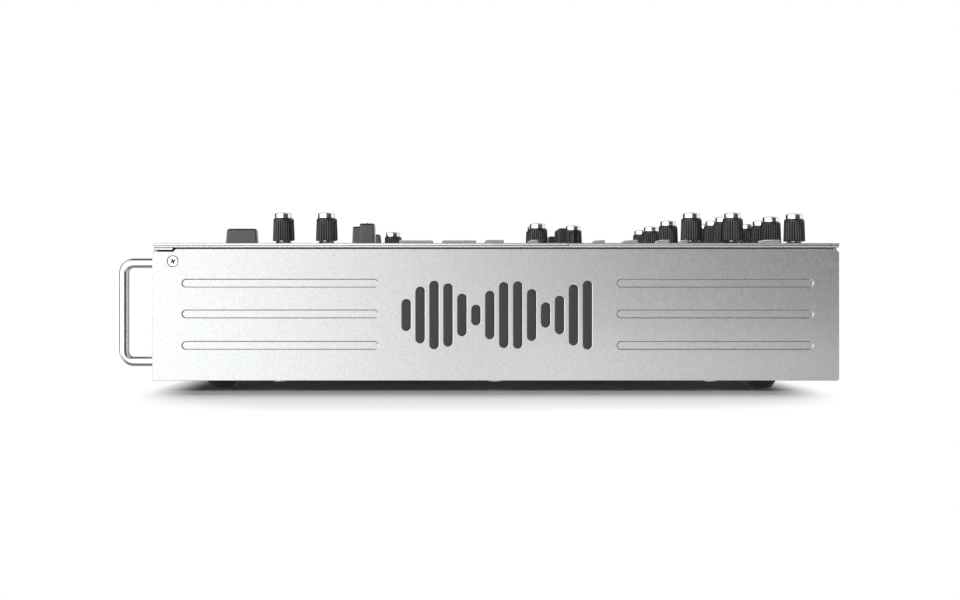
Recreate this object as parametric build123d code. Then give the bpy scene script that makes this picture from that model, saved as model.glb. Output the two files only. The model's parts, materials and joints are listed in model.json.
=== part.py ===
from build123d import *
import os
from math import pi, sin

# A two-channel table-top DJ mixer.
# Frame: +Z up, +Y towards the rear panel with the sockets, +X towards the player's right.
# Origin: on the table, under the middle of the whole machine. Millimetres.

# ---- overall sizes ----
BODY_WIDTH = 270.0
BODY_DEPTH = 384.8
HANDLE_REACH = 21.3       # how far the carry handles stand in front of the body
SOCKET_REACH = 8.0        # how far the phono sockets stand behind the body
FOOT_HEIGHT = 5.8
PLATE_TOP = 82.8          # upper face of the faceplates above the table

HALF_WIDTH = BODY_WIDTH / 2
FRONT_Y = HANDLE_REACH - (HANDLE_REACH + BODY_DEPTH + SOCKET_REACH) / 2

# ---- sheet metal ----
FACEPLATE = 1.4
CHASSIS_SHEET = 1.2
CHASSIS_TOP = PLATE_TOP - FACEPLATE
CHASSIS_UNDER = CHASSIS_TOP - CHASSIS_SHEET
PLATE_INSET = 0.4         # top sheets stop this far inside the side panels' faces
SEAM_AT = 232.8           # joint between the two faceplates, from the front of the body
SEAM_GAP = 0.4

SIDE_SKIN = 2.0           # outer leaf of a side panel
SIDE_WALL = 3.5           # outer leaf and inner rib together
SIDE_TOP = 79.5
NOTCH_TOP = 78.0          # the side panel is cut lower here for the front panel's flange
NOTCH_LENGTH = 11.8
REAR_CHAMFER = 2.0
FOOT_CHAMFER = 1.0        # at the lower rear corner of a side panel
SIDE_REAR = BODY_DEPTH - 0.4
INNER_HALF = HALF_WIDTH - SIDE_WALL - 0.2
PANEL_SHEET = 2.0
PANEL_FOOT = FOOT_HEIGHT + 1.7
FLANGE_TOP = CHASSIS_UNDER - 0.1
FLANGE_SHEET = 1.2
FLANGE_DEPTH = 11.4
BASE_SHEET = 1.5

# ---- recesses in the side panels ----
RECESS_DEPTH = 0.8
GROOVE_LENGTH = 109.5
GROOVE_HEIGHT = 4.2
GROOVE_LEVELS = (60.3, 43.1, 25.5)
GROOVE_CENTRES = (71.5, 315.0)
MOTIF_CENTRE = 192.9
MOTIF_LEVEL = 42.5
MOTIF_BARS = 14
MOTIF_PITCH = 7.8
MOTIF_BAR_WIDTH = 4.8
MOTIF_HEIGHT = 38.0
MOTIF_LOW = 9.0
MOTIF_WAVES = 2.6

# ---- knobs ----
KNOB_RADIUS_TOP = 5.8
KNOB_RADIUS_FOOT = 6.2
KNOB_SKIRT_GAP = 2.2      # air between a faceplate and a knob's skirt
KNOB_TOP = 18.4
SHORT_KNOB_TOP = 16.0
CAP_RADIUS = 5.05
CAP_HEIGHT = 3.1
POINTER_REACH = 6.7
POINTER_WIDTH = 1.2
SHAFT_RADIUS = 3.0
SHAFT_CLEARANCE = 0.1
BUSH_RADIUS = 3.75
BUSH_TOP = 1.6            # above the faceplate
POT_SIDE = 12.0
COLUMN_X = 20.0           # the two channel strips stand this far each side of the middle
OUTER_X = 107.0

# name: (x, distance from the front of the body, height above the plate, rest turn)
KNOBS = {
    "phones_mix_knob": (OUTER_X, 70.5, KNOB_TOP, 0),
    "phones_level_knob": (OUTER_X, 95.4, KNOB_TOP, 0),
    "mic_level_knob": (OUTER_X, 306.3, KNOB_TOP, 0),
    "mic_tone_knob": (OUTER_X, 330.1, KNOB_TOP, 0),
    "booth_level_knob": (98.0, 367.9, KNOB_TOP, 0),
    "right_low_knob": (COLUMN_X, 306.2, KNOB_TOP, 0),
    "right_mid_knob": (COLUMN_X, 334.9, KNOB_TOP, 0),
    "right_high_knob": (COLUMN_X, 365.0, KNOB_TOP, 0),
    "left_low_knob": (-COLUMN_X, 312.3, KNOB_TOP, 0),
    "left_mid_knob": (-COLUMN_X, 336.0, KNOB_TOP, 0),
    "left_high_knob": (-COLUMN_X, 364.4, KNOB_TOP, 0),
    "right_filter_knob": (64.0, 333.0, KNOB_TOP, 0),
    "right_trim_knob": (66.0, 361.3, KNOB_TOP, 0),
    "left_filter_knob": (-56.0, 306.2, KNOB_TOP, 0),
    "master_level_knob": (-OUTER_X, 306.4, KNOB_TOP, 0),
    "effect_depth_knob": (-41.0, 251.3, KNOB_TOP, -90),
    "beat_encoder": (34.0, 222.2, SHORT_KNOB_TOP, 0),
    "select_encoder": (0.0, 222.8, SHORT_KNOB_TOP, 0),
    "browse_encoder": (-86.0, 127.7, SHORT_KNOB_TOP, 0),
}

# ---- faders ----
FADER_LONG = 21.2         # cap length across its travel
FADER_SHORT = 10.1        # cap length along its travel
FADER_TAPER = 0.9         # the cap's top is this fraction of its foot
FADER_GAP = 1.0
STEM_LONG = 4.0
STEM_SHORT = 1.2
SLOT_WIDTH = 2.4
SLOT_SPARE = 1.0
MODULE_WIDTH = 9.0
MODULE_OVERRUN = 9.0
CROSS_TRAVEL = 45.0
CHANNEL_TRAVEL = 45.0
PAN_TRAVEL = 30.0
CROSS_FADER_TOP = 14.8
CHANNEL_FADER_TOP = 17.2

# name: (x, y of the slot's middle, y or x of the cap along the slot, travel, runs along X, cap top)
FADERS = {
    "crossfader_cap": (0.0, 32.5, 0.0, CROSS_TRAVEL, True, CROSS_FADER_TOP),
    "cue_pan_fader_cap": (-85.0, 109.5, 0.0, PAN_TRAVEL, True, CROSS_FADER_TOP),
    "right_fader_cap": (COLUMN_X, 107.5, 7.5, CHANNEL_TRAVEL, False, CHANNEL_FADER_TOP),
    "left_fader_cap": (-COLUMN_X, 107.5, 0.7, CHANNEL_TRAVEL, False, CHANNEL_FADER_TOP),
}

# ---- effect paddles ----
PADDLE_X = 57.0
PADDLE_AT = {"right_effect_paddle": (PADDLE_X, 235.5), "left_effect_paddle": (-PADDLE_X, 238.0)}
PADDLE_TOP = 11.4
PADDLE_FRONT = 3.3        # the blade's front face stands this far ahead of its pivot
PADDLE_DEPTH = 4.9
PADDLE_WIDTH = 28.0
PADDLE_BEVEL = 0.8
PADDLE_GAP = 1.5
PADDLE_NECK = 2.6
PADDLE_NECK_WIDTH = 12.0
PADDLE_HUB_RADIUS = 2.0
PIVOT_LEVEL = PLATE_TOP - 5.0
PIN_RADIUS = 1.0
PADDLE_SLOT = 5.4         # the right one runs into the joint between the faceplates

# ---- pads and buttons ----
PAD_SIDE = 19.5
PAD_PITCH = 24.6
PAD_TOP = 2.4
PAD_FOOT_LEVEL = 76.5
PAD_OUTER_EDGE = 121.0
PAD_ROWS = (147.35, 171.95)
PAD_COLUMNS = 4
KEY_CLEARANCE = 0.4
MODE_DEPTH = 10.4
MODE_AT = 192.2
SIDE_BUTTON_X = 119.7
SIDE_BUTTON_WIDTH = 8.6
SIDE_BUTTON_TOP = 2.2
# distance from the front of the body, and length
SIDE_BUTTONS = ((214.0, 5.6), (251.3, 6.6), (269.1, 8.3), (287.6, 7.2), (299.3, 4.3), (348.5, 11.1))

# ---- handles and feet ----
HANDLE_BAR = 2.9
HANDLE_X = 121.5
HANDLE_LOW = 13.2
HANDLE_HIGH = 74.8
HANDLE_BEND = 5.4
HANDLE_COLLAR = 4.6
COLLAR_THICK = 1.2
FOOT_RADIUS = 9.75
FOOT_SOLE_RADIUS = 6.9    # the flat ring that rests on the table
FOOT_RIM = 1.0            # straight part of the foot's wall under the case
FOOT_X = 100.0
FOOT_AT = (34.7, 347.3)
FOOT_RECESS_RADIUS = 4.2
FOOT_RECESS = 3.4

# ---- inside ----
BOARD = 1.6
CONTROL_BOARD_TOP = 73.0
MAIN_BOARD_LEVEL = 14.0
STANDOFF_RADIUS = 3.0

# ---- rear and front sockets: x and height of each ----
PHONO_X = (-40.0, -18.0, 4.0, 26.0, 48.0)
PHONO_LEVELS = (30.0, 52.0)
PHONO_RADIUS = 4.15
PHONO_BORE = 1.6
PHONO_FLANGE = 6.0
EARTH_POSTS = ((-29.0, 62.0), (37.0, 62.0))
XLR_AT = ((76.0, 32.0), (108.0, 32.0))
XLR_FLANGE = (26.0, 31.0)
XLR_CUP = 9.6
JACK_AT = ((70.0, 60.0), (92.0, 60.0), (114.0, 60.0))
JACK_BORE = 3.25
JACK_BUSH = 4.5
JACK_NUT = 5.6
USB_AT = ((-64.0, 30.0), (-64.0, 52.0))
USB_OPENING = (8.6, 7.9)
USB_SHELL = 0.6
INLET_AT = (-100.0, 30.0)
INLET_FLANGE = (48.0, 22.0)
INLET_CAVITY = (24.6, 16.6)
SWITCH_AT = (-100.0, 58.0)
SWITCH_FRAME = (21.0, 15.0)
SWITCH_HOLE = (17.0, 11.0)
SWITCH_PIVOT_DEPTH = 2.5  # the rocker's pins lie this far inside the rear panel
SWITCH_PIN_RADIUS = 0.9
SWITCH_PIN_REACH = 0.8    # how far each pin enters the frame
PHONES_AT = (-84.0, 42.0)
MINI_PHONES_AT = (-64.0, 42.0)
MINI_BORE = 1.8


# ---- small helpers ----
def at(distance):
    """Y of a place given as its distance from the front of the body."""
    return FRONT_Y + distance


def block(x0, x1, y0, y1, z0, z1):
    """A block between two opposite corners."""
    return Pos((x0 + x1) / 2, (y0 + y1) / 2, (z0 + z1) / 2) * Box(x1 - x0, y1 - y0, z1 - z0)


def centred_block(x, y, z0, z1, width, depth):
    """A block standing on z0, centred on x and y."""
    return block(x - width / 2, x + width / 2, y - depth / 2, y + depth / 2, z0, z1)


def post(x, y, z0, z1, radius):
    """An upright cylinder from z0 to z1."""
    return Pos(x, y, (z0 + z1) / 2) * Cylinder(radius, z1 - z0)


def rod_y(x, z, y0, y1, radius):
    """A cylinder lying along Y."""
    return Pos(x, (y0 + y1) / 2, z) * Rot(90, 0, 0) * Cylinder(radius, y1 - y0)


def rod_x(y, z, x0, x1, radius):
    """A cylinder lying along X."""
    return Pos((x0 + x1) / 2, y, z) * Rot(0, 90, 0) * Cylinder(radius, x1 - x0)


def face_block(x, z, y0, y1, size):
    """A block on a front or rear panel, centred on x and z."""
    return block(x - size[0] / 2, x + size[0] / 2, y0, y1, z - size[1] / 2, z + size[1] / 2)


def stadium(side, centre_y, centre_z, length, height, angle=0):
    """A round-ended pocket in the outer face of the side panel on the given side."""
    outline = SlotOverall(length, height, rotation=angle)
    plane = Plane(origin=(side * (HALF_WIDTH - RECESS_DEPTH), centre_y, centre_z),
                  x_dir=(0, 1, 0), z_dir=(1, 0, 0))
    return extrude(plane * outline, amount=side * (RECESS_DEPTH + 1))


# ---- places of the pads and buttons ----
def pad_columns(side):
    """X of the four pad columns of one deck, from the middle outwards."""
    outermost = PAD_OUTER_EDGE - PAD_SIDE / 2
    return [side * (outermost - PAD_PITCH * step) for step in reversed(range(PAD_COLUMNS))]


def button_opening(x, distance, width, depth):
    """The hole that a key of the given size moves in."""
    spare = 2 * KEY_CLEARANCE
    return centred_block(x, at(distance), CHASSIS_UNDER - 1, PLATE_TOP + 1, width + spare, depth + spare)


def top_openings():
    """Every hole through the top sheets, as a list of cutting solids."""
    low, high = CHASSIS_UNDER - 1, PLATE_TOP + 1
    holes = [post(x, at(d), low, high, BUSH_RADIUS + 0.1) for x, d, _, _ in KNOBS.values()]
    for x, d, _, travel, along_x, _ in FADERS.values():
        length = travel + STEM_LONG + 2 * SLOT_SPARE
        size = (length, SLOT_WIDTH) if along_x else (SLOT_WIDTH, length)
        holes.append(centred_block(x, at(d), low, high, *size))
    for x, d in PADDLE_AT.values():
        holes.append(centred_block(x, at(d), low, high, PADDLE_NECK_WIDTH + 1, PADDLE_SLOT))
    for side in (-1, 1):
        for x in pad_columns(side):
            holes += [button_opening(x, d, PAD_SIDE, PAD_SIDE) for d in PAD_ROWS]
            holes.append(button_opening(x, MODE_AT, PAD_SIDE, MODE_DEPTH))
        for d, length in SIDE_BUTTONS:
            holes.append(button_opening(side * SIDE_BUTTON_X, d, SIDE_BUTTON_WIDTH, length))
    return holes


# ---- screws: place, direction of the head, and level of the head's face ----
HEAD_RADIUS = 2.95
HEAD_THICK = 1.2
THREAD_RADIUS = 1.5
HEAD_HOLE = 3.15
SIDE_SCREW = (11.5, 72.6)
FACEPLATE_SCREWS = [(x, d) for x in (-127.0, 127.0) for d in (8.0, 224.0, 241.0, 376.0)]
BASE_SCREWS = [(x, d) for x in (-124.0, 124.0) for d in (70.0, 192.0, 314.0)]
PANEL_SCREWS = [(x, z) for x in (-126.0, 126.0) for z in (14.0, 70.0)]


def case_screws():
    """All the case's screws, each a head and a thread in one solid."""
    screws = []
    for side in (-1, 1):
        y, z = at(SIDE_SCREW[0]), SIDE_SCREW[1]
        face = side * (HALF_WIDTH - 0.1)
        neck = side * (HALF_WIDTH - 0.1 - HEAD_THICK)
        tip = side * (INNER_HALF + 0.2)
        screws.append(rod_x(y, z, min(face, neck), max(face, neck), HEAD_RADIUS)
                      + rod_x(y, z, min(neck, tip), max(neck, tip), THREAD_RADIUS))
    for x, d in FACEPLATE_SCREWS:
        head = post(x, at(d), PLATE_TOP - 0.9, PLATE_TOP, HEAD_RADIUS)
        screws.append(head + post(x, at(d), CHASSIS_UNDER - 4, PLATE_TOP - 0.9, THREAD_RADIUS))
    for x, d in BASE_SCREWS:
        head = post(x, at(d), FOOT_HEIGHT - HEAD_THICK, FOOT_HEIGHT, HEAD_RADIUS)
        screws.append(head + post(x, at(d), FOOT_HEIGHT, FOOT_HEIGHT + 6, THREAD_RADIUS))
    for x, z in PANEL_SCREWS:
        rear = at(BODY_DEPTH - 0.8)
        head = rod_y(x, z, rear, rear + HEAD_THICK, HEAD_RADIUS)
        screws.append(head + rod_y(x, z, rear - 6, rear, THREAD_RADIUS))
    return screws


def screw_holes():
    """The holes that those screws pass through, a little wider than the screws."""
    spare = 0.1
    holes = []
    for x, d in FACEPLATE_SCREWS:
        holes.append(post(x, at(d), PLATE_TOP - 0.9, PLATE_TOP + 1, HEAD_HOLE))
        holes.append(post(x, at(d), CHASSIS_UNDER - 5, PLATE_TOP, THREAD_RADIUS + spare))
    for x, d in BASE_SCREWS:
        holes.append(post(x, at(d), FOOT_HEIGHT - 1, FOOT_HEIGHT + 7, THREAD_RADIUS + spare))
    for x, z in PANEL_SCREWS:
        holes.append(rod_y(x, z, at(BODY_DEPTH - 8), at(BODY_DEPTH + 1), THREAD_RADIUS + spare))
    return holes


# ---- case ----
def side_panel(side):
    """Outer leaf with its grooves and bar motif, and the rib that the top sheets rest on."""
    outline = Polyline(
        (at(0), FOOT_HEIGHT), (at(SIDE_REAR - FOOT_CHAMFER), FOOT_HEIGHT),
        (at(SIDE_REAR), FOOT_HEIGHT + FOOT_CHAMFER),
        (at(SIDE_REAR), SIDE_TOP - REAR_CHAMFER), (at(SIDE_REAR - REAR_CHAMFER), SIDE_TOP),
        (at(NOTCH_LENGTH + 1.3), SIDE_TOP), (at(NOTCH_LENGTH), NOTCH_TOP), (at(0), NOTCH_TOP), close=True)
    face = Plane(origin=(side * HALF_WIDTH, 0, 0), x_dir=(0, 1, 0), z_dir=(1, 0, 0)) * make_face(outline)
    panel = extrude(face, amount=-side * SIDE_SKIN)
    inner, outer = HALF_WIDTH - SIDE_WALL, HALF_WIDTH - SIDE_SKIN
    rib = block(inner, outer, at(NOTCH_LENGTH + 2), at(BODY_DEPTH - 4), PANEL_FOOT, CHASSIS_UNDER)
    low_rib = block(inner, outer, at(2.6), at(NOTCH_LENGTH + 2), PANEL_FOOT, NOTCH_TOP - 0.3)
    ribs = rib + low_rib
    panel += ribs if side > 0 else mirror(ribs, Plane.YZ)
    pockets = [stadium(side, at(d), z, GROOVE_LENGTH, GROOVE_HEIGHT)
               for d in GROOVE_CENTRES for z in GROOVE_LEVELS]
    for number in range(MOTIF_BARS):
        step = number - (MOTIF_BARS - 1) / 2
        swing = abs(sin(pi * MOTIF_WAVES * (number + 0.5) / MOTIF_BARS))
        height = MOTIF_LOW + (MOTIF_HEIGHT - MOTIF_LOW) * swing
        pockets.append(stadium(side, at(MOTIF_CENTRE + MOTIF_PITCH * step), MOTIF_LEVEL,
                               height, MOTIF_BAR_WIDTH, 90))
    y, z = at(SIDE_SCREW[0]), SIDE_SCREW[1]
    face_x, seat_x = side * (HALF_WIDTH + 1), side * (HALF_WIDTH - 0.1 - HEAD_THICK)
    pockets.append(rod_x(y, z, min(face_x, seat_x), max(face_x, seat_x), HEAD_HOLE))
    pockets.append(rod_x(y, z, min(seat_x, side * inner), max(seat_x, side * inner), THREAD_RADIUS + 0.1))
    return panel - pockets


def base_plate():
    """Bottom sheet with vent slots and holes for the feet's screws."""
    sheet = block(-INNER_HALF, INNER_HALF, at(0.5), at(BODY_DEPTH - 1), FOOT_HEIGHT, FOOT_HEIGHT + BASE_SHEET)
    cuts = []
    for group in (130.0, 254.0):
        for row in range(8):
            for x in (-45.0, 45.0):
                cuts.append(centred_block(x, at(group + (row - 3.5) * 8), FOOT_HEIGHT - 1, FOOT_HEIGHT + 3, 50, 3))
    for side in (-1, 1):
        cuts += [post(side * FOOT_X, at(d), FOOT_HEIGHT - 1, FOOT_HEIGHT + 3, THREAD_RADIUS + 0.1)
                 for d in FOOT_AT]
    return sheet - cuts - screw_holes()


def front_panel():
    """Upright front sheet with the flange that closes the top front edge."""
    sheet = block(-INNER_HALF, INNER_HALF, at(0.3), at(0.3 + PANEL_SHEET), PANEL_FOOT, FLANGE_TOP)
    flange = block(-HALF_WIDTH + 0.4, HALF_WIDTH - 0.4, at(0.6), at(FLANGE_DEPTH),
                   FLANGE_TOP - FLANGE_SHEET, FLANGE_TOP)
    holes = [rod_y(*PHONES_AT, at(-1), at(4), JACK_BUSH + 0.1),
             rod_y(*MINI_PHONES_AT, at(-1), at(4), MINI_BORE + 1.3)]
    return sheet + flange - holes - screw_holes()


def rear_panel():
    """Upright rear sheet with a hole for each socket."""
    y0, y1 = at(BODY_DEPTH - 0.8 - PANEL_SHEET), at(BODY_DEPTH - 0.8)
    sheet = block(-INNER_HALF, INNER_HALF, y0, y1, PANEL_FOOT, FLANGE_TOP)
    holes = [rod_y(x, z, y0 - 1, y1 + 1, PHONO_RADIUS + 0.3) for x in PHONO_X for z in PHONO_LEVELS]
    holes += [rod_y(x, z, y0 - 1, y1 + 1, 1.7) for x, z in EARTH_POSTS]
    holes += [rod_y(x, z, y0 - 1, y1 + 1, XLR_CUP + 1.5) for x, z in XLR_AT]
    holes += [rod_y(x, z, y0 - 1, y1 + 1, JACK_BUSH + 0.1) for x, z in JACK_AT]
    usb = (USB_OPENING[0] + 2 * USB_SHELL + 0.4, USB_OPENING[1] + 2 * USB_SHELL + 0.4)
    holes += [face_block(x, z, y0 - 1, y1 + 1, usb) for x, z in USB_AT]
    holes.append(face_block(*INLET_AT, y0 - 1, y1 + 1, (28.4, 20.4)))
    holes.append(face_block(*SWITCH_AT, y0 - 1, y1 + 1, (SWITCH_HOLE[0] + 2.4, SWITCH_HOLE[1] + 2.4)))
    return sheet - holes - screw_holes()


def top_sheet(y0, y1, z0, z1):
    """One of the sheets on top, with its share of the control openings."""
    half = HALF_WIDTH - PLATE_INSET
    sheet = block(-half, half, y0, y1, z0, z1)
    return sheet - top_openings() - screw_holes()


def carry_handle(side):
    """A round bar bent to a U, standing upright on the front panel, with a collar at each end."""
    x, root = side * HANDLE_X, at(0.3)
    out, low, high = at(HANDLE_BAR - HANDLE_REACH), HANDLE_LOW + HANDLE_BAR, HANDLE_HIGH - HANDLE_BAR
    path = FilletPolyline((x, root, low), (x, out, low), (x, out, high), (x, root, high), radius=HANDLE_BEND)
    bar = sweep(Plane(origin=(x, root, low), z_dir=(0, -1, 0)) * Circle(HANDLE_BAR), path=path)
    collars = [rod_y(x, z, root - COLLAR_THICK, root, HANDLE_COLLAR) for z in (low, high)]
    return bar + collars


def rubber_foot(x, y):
    """A round foot: a short wall under the case, then a cone in to the sole, with a recess for its screw."""
    cone_top = FOOT_HEIGHT - FOOT_RIM
    body = post(x, y, cone_top, FOOT_HEIGHT, FOOT_RADIUS)
    body += Pos(x, y, cone_top / 2) * Cone(FOOT_SOLE_RADIUS, FOOT_RADIUS, cone_top)
    recess = post(x, y, -1, FOOT_RECESS, FOOT_RECESS_RADIUS)
    return body - recess - post(x, y, 0, FOOT_HEIGHT + 1, THREAD_RADIUS + 0.1)


def foot_screw(x, y):
    """The screw that holds a foot, its head in the foot's recess."""
    head = post(x, y, FOOT_RECESS - HEAD_THICK, FOOT_RECESS, HEAD_RADIUS)
    return head + post(x, y, FOOT_RECESS, FOOT_HEIGHT + 6, THREAD_RADIUS)


# ---- controls ----
def knob(x, distance, height, turn):
    """Shaft, fluted body (plain here) with its pointer rib, and the metal cap."""
    foot, top = PLATE_TOP + KNOB_SKIRT_GAP, PLATE_TOP + height
    shoulder = top - CAP_HEIGHT
    section = Polyline((0, foot), (KNOB_RADIUS_FOOT, foot), (KNOB_RADIUS_TOP, shoulder), (0, shoulder), close=True)
    body = revolve(Plane.XZ * make_face(section), axis=Axis.Z)
    body += block(-POINTER_WIDTH / 2, POINTER_WIDTH / 2, 4, POINTER_REACH, foot, shoulder)
    socket_top = shoulder - 2.0
    body -= post(0, 0, foot - 1, socket_top, SHAFT_RADIUS)
    cap = post(0, 0, shoulder, top, CAP_RADIUS)
    cap = fillet(cap.edges().group_by(Axis.Z)[-1], 0.7)
    shaft = post(0, 0, CONTROL_BOARD_TOP + 1.2, socket_top, SHAFT_RADIUS)
    place = Pos(x, at(distance), 0) * Rot(0, 0, turn)
    return [place * piece for piece in (body, cap, shaft)]


def control_body(x, distance):
    """A potentiometer or encoder on the control board: its case and threaded bush."""
    y = at(distance)
    case = centred_block(x, y, CONTROL_BOARD_TOP, CHASSIS_UNDER, POT_SIDE, POT_SIDE)
    bush = post(x, y, CHASSIS_UNDER, PLATE_TOP + BUSH_TOP, BUSH_RADIUS)
    return case + bush - post(x, y, CONTROL_BOARD_TOP + 1, PLATE_TOP + 5, SHAFT_RADIUS + SHAFT_CLEARANCE)


def fader_cap(x, distance, offset, travel, along_x, height):
    """A tapered cap on its flat stem, resting at the given offset along the slot."""
    cx, cy = (x + offset, at(distance)) if along_x else (x, at(distance) + offset)
    size = (FADER_SHORT, FADER_LONG) if along_x else (FADER_LONG, FADER_SHORT)
    foot, top = PLATE_TOP + FADER_GAP, PLATE_TOP + height
    lower = Pos(cx, cy, foot) * Rectangle(*size)
    upper = Pos(cx, cy, top) * Rectangle(size[0] * FADER_TAPER, size[1] * FADER_TAPER)
    cap = loft([lower, upper])
    stem = (STEM_LONG, STEM_SHORT) if along_x else (STEM_SHORT, STEM_LONG)
    return cap + centred_block(cx, cy, CONTROL_BOARD_TOP + 2.5, foot, *stem)


def fader_module(x, distance, travel, along_x):
    """The slide potentiometer under a slot: a channel that the stem runs in."""
    length = travel + STEM_LONG + 2 * MODULE_OVERRUN
    run = travel + STEM_LONG + 2 * SLOT_SPARE
    outer = (length, MODULE_WIDTH) if along_x else (MODULE_WIDTH, length)
    inner = (run, SLOT_WIDTH) if along_x else (SLOT_WIDTH, run)
    case = centred_block(x, at(distance), CONTROL_BOARD_TOP, CHASSIS_UNDER, *outer)
    return case - centred_block(x, at(distance), CONTROL_BOARD_TOP + 1.5, CHASSIS_UNDER + 1, *inner)


def effect_paddle(x, distance):
    """A wide finger paddle on a neck, with its hub and pivot pin in one piece."""
    y = at(distance)
    foot, top = PLATE_TOP + PADDLE_GAP, PLATE_TOP + PADDLE_TOP
    front = y - PADDLE_FRONT
    back = front + PADDLE_DEPTH
    outline = Polyline((front, foot), (back, foot), (back, top), (front + PADDLE_BEVEL, top),
                       (front, top - PADDLE_BEVEL), close=True)
    face = Plane(origin=(x - PADDLE_WIDTH / 2, 0, 0), x_dir=(0, 1, 0), z_dir=(1, 0, 0)) * make_face(outline)
    blade = extrude(face, amount=PADDLE_WIDTH)
    neck = centred_block(x, y, PIVOT_LEVEL, foot, PADDLE_NECK_WIDTH, PADDLE_NECK)
    half = PADDLE_NECK_WIDTH / 2
    hub = rod_x(y, PIVOT_LEVEL, x - half, x + half, PADDLE_HUB_RADIUS)
    pin = rod_x(y, PIVOT_LEVEL, x - half - 2.5, x + half + 2.5, PIN_RADIUS)
    return blade + neck + hub + pin


def paddle_bracket(x, distance):
    """The switch frame that carries a paddle's pin: a floor and two ears."""
    y, half = at(distance), PADDLE_NECK_WIDTH / 2
    ears = block(x - half - 3, x - half - 0.5, y - 3, y + 3, CONTROL_BOARD_TOP, CHASSIS_UNDER)
    ears += block(x + half + 0.5, x + half + 3, y - 3, y + 3, CONTROL_BOARD_TOP, CHASSIS_UNDER)
    floor = block(x - half - 3, x + half + 3, y - 3, y + 3, CONTROL_BOARD_TOP, CONTROL_BOARD_TOP + 1.5)
    return ears + floor - rod_x(y, PIVOT_LEVEL, x - half - 4, x + half + 4, PIN_RADIUS + 0.08)


def key(x, distance, width, depth, height):
    """A plain key whose top stands above the faceplate by the given height."""
    return centred_block(x, at(distance), PAD_FOOT_LEVEL, PLATE_TOP + height, width, depth)


# ---- boards and sockets ----
def circuit_boards():
    """Control board under the top, main board on standoffs, and the power supply."""
    control = block(-126, 126, at(14), at(BODY_DEPTH - 8), CONTROL_BOARD_TOP - BOARD, CONTROL_BOARD_TOP)
    main = block(-54, 116, at(90), at(340), MAIN_BOARD_LEVEL, MAIN_BOARD_LEVEL + BOARD)
    supply_board = block(-122, -62, at(210), at(345), MAIN_BOARD_LEVEL, MAIN_BOARD_LEVEL + BOARD)
    transformer = block(-112, -78, at(250), at(290), MAIN_BOARD_LEVEL + BOARD, MAIN_BOARD_LEVEL + 28)
    feet = [(x, d) for x in (-48, 110) for d in (96, 334)] + [(x, d) for x in (-116, -68) for d in (216, 339)]
    low = FOOT_HEIGHT + BASE_SHEET
    standoffs = [post(x, at(d), low, MAIN_BOARD_LEVEL, STANDOFF_RADIUS) for x, d in feet]
    columns = [(x, d) for x in (-122, 122) for d in (60, 122, 200, 352)]
    pillars = [post(x, at(d), low, CONTROL_BOARD_TOP - BOARD, STANDOFF_RADIUS) for x, d in columns]
    return [control, main, supply_board, transformer] + standoffs + pillars


def phono_socket(x, z):
    """A phono socket: square body inside, flange, and the sleeve that the plug grips."""
    rear = at(BODY_DEPTH - 0.8)
    sleeve = rod_y(x, z, rear - PANEL_SHEET, at(BODY_DEPTH) + SOCKET_REACH, PHONO_RADIUS)
    body = face_block(x, z, rear - PANEL_SHEET - 12, rear - PANEL_SHEET, (11, 13))
    flange = rod_y(x, z, rear, rear + 1.4, PHONO_FLANGE)
    return sleeve + body + flange - rod_y(x, z, rear - 6, rear + 12, PHONO_BORE)


def earth_post(x, z):
    """A knurled earth terminal."""
    rear = at(BODY_DEPTH - 0.8)
    return rod_y(x, z, rear - 5, rear, 1.6) + rod_y(x, z, rear, rear + 6, 3.6)


def xlr_socket(x, z):
    """A flanged three-pin output: a cup that the plug's shell enters."""
    rear = at(BODY_DEPTH - 0.8)
    flange = face_block(x, z, rear, rear + 2.2, XLR_FLANGE)
    cup = rod_y(x, z, rear - 16, rear, XLR_CUP + 1.4)
    return flange + cup - rod_y(x, z, rear - 13, rear + 5, XLR_CUP)


def jack_socket(x, z, outward, panel_y, bore, bush, nut):
    """A jack socket: box inside, threaded bush through the panel, and its nut."""
    deep = panel_y - outward * (PANEL_SHEET + 24)
    inside = panel_y - outward * PANEL_SHEET
    tip = panel_y + outward * 2.6
    side = 2 * bush + 3
    body = face_block(x, z, min(deep, inside), max(deep, inside), (side, side))
    thread = rod_y(x, z, min(inside, tip), max(inside, tip), bush)
    ring = rod_y(x, z, min(panel_y, panel_y + outward * 1.8), max(panel_y, panel_y + outward * 1.8), nut)
    end = panel_y - outward * 22
    return body + thread + ring - rod_y(x, z, min(end, tip) - 0.5, max(end, tip) + 0.5, bore)


def usb_socket(x, z):
    """A square data socket: a sheet shell open towards the rear."""
    rear = at(BODY_DEPTH - 0.8)
    outer = (USB_OPENING[0] + 2 * USB_SHELL, USB_OPENING[1] + 2 * USB_SHELL)
    return (face_block(x, z, rear - 16, rear + 0.6, outer)
            - face_block(x, z, rear - 12, rear + 2, USB_OPENING))


def power_inlet():
    """The mains inlet: flange, body and the cavity for the plug."""
    rear = at(BODY_DEPTH - 0.8)
    flange = face_block(*INLET_AT, rear, rear + 2, INLET_FLANGE)
    body = face_block(*INLET_AT, rear - 22, rear, (28, 20))
    return flange + body - face_block(*INLET_AT, rear - 16, rear + 4, INLET_CAVITY)


def switch_frame():
    """The fixed frame round the power rocker."""
    rear = at(BODY_DEPTH - 0.8)
    bezel = face_block(*SWITCH_AT, rear, rear + 1.2, SWITCH_FRAME)
    body = face_block(*SWITCH_AT, rear - 14, rear, (SWITCH_HOLE[0] + 2, SWITCH_HOLE[1] + 2))
    frame = bezel + body - face_block(*SWITCH_AT, rear - 10, rear + 4, SWITCH_HOLE)
    return frame - switch_pin(SWITCH_PIN_RADIUS + 0.05)


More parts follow.
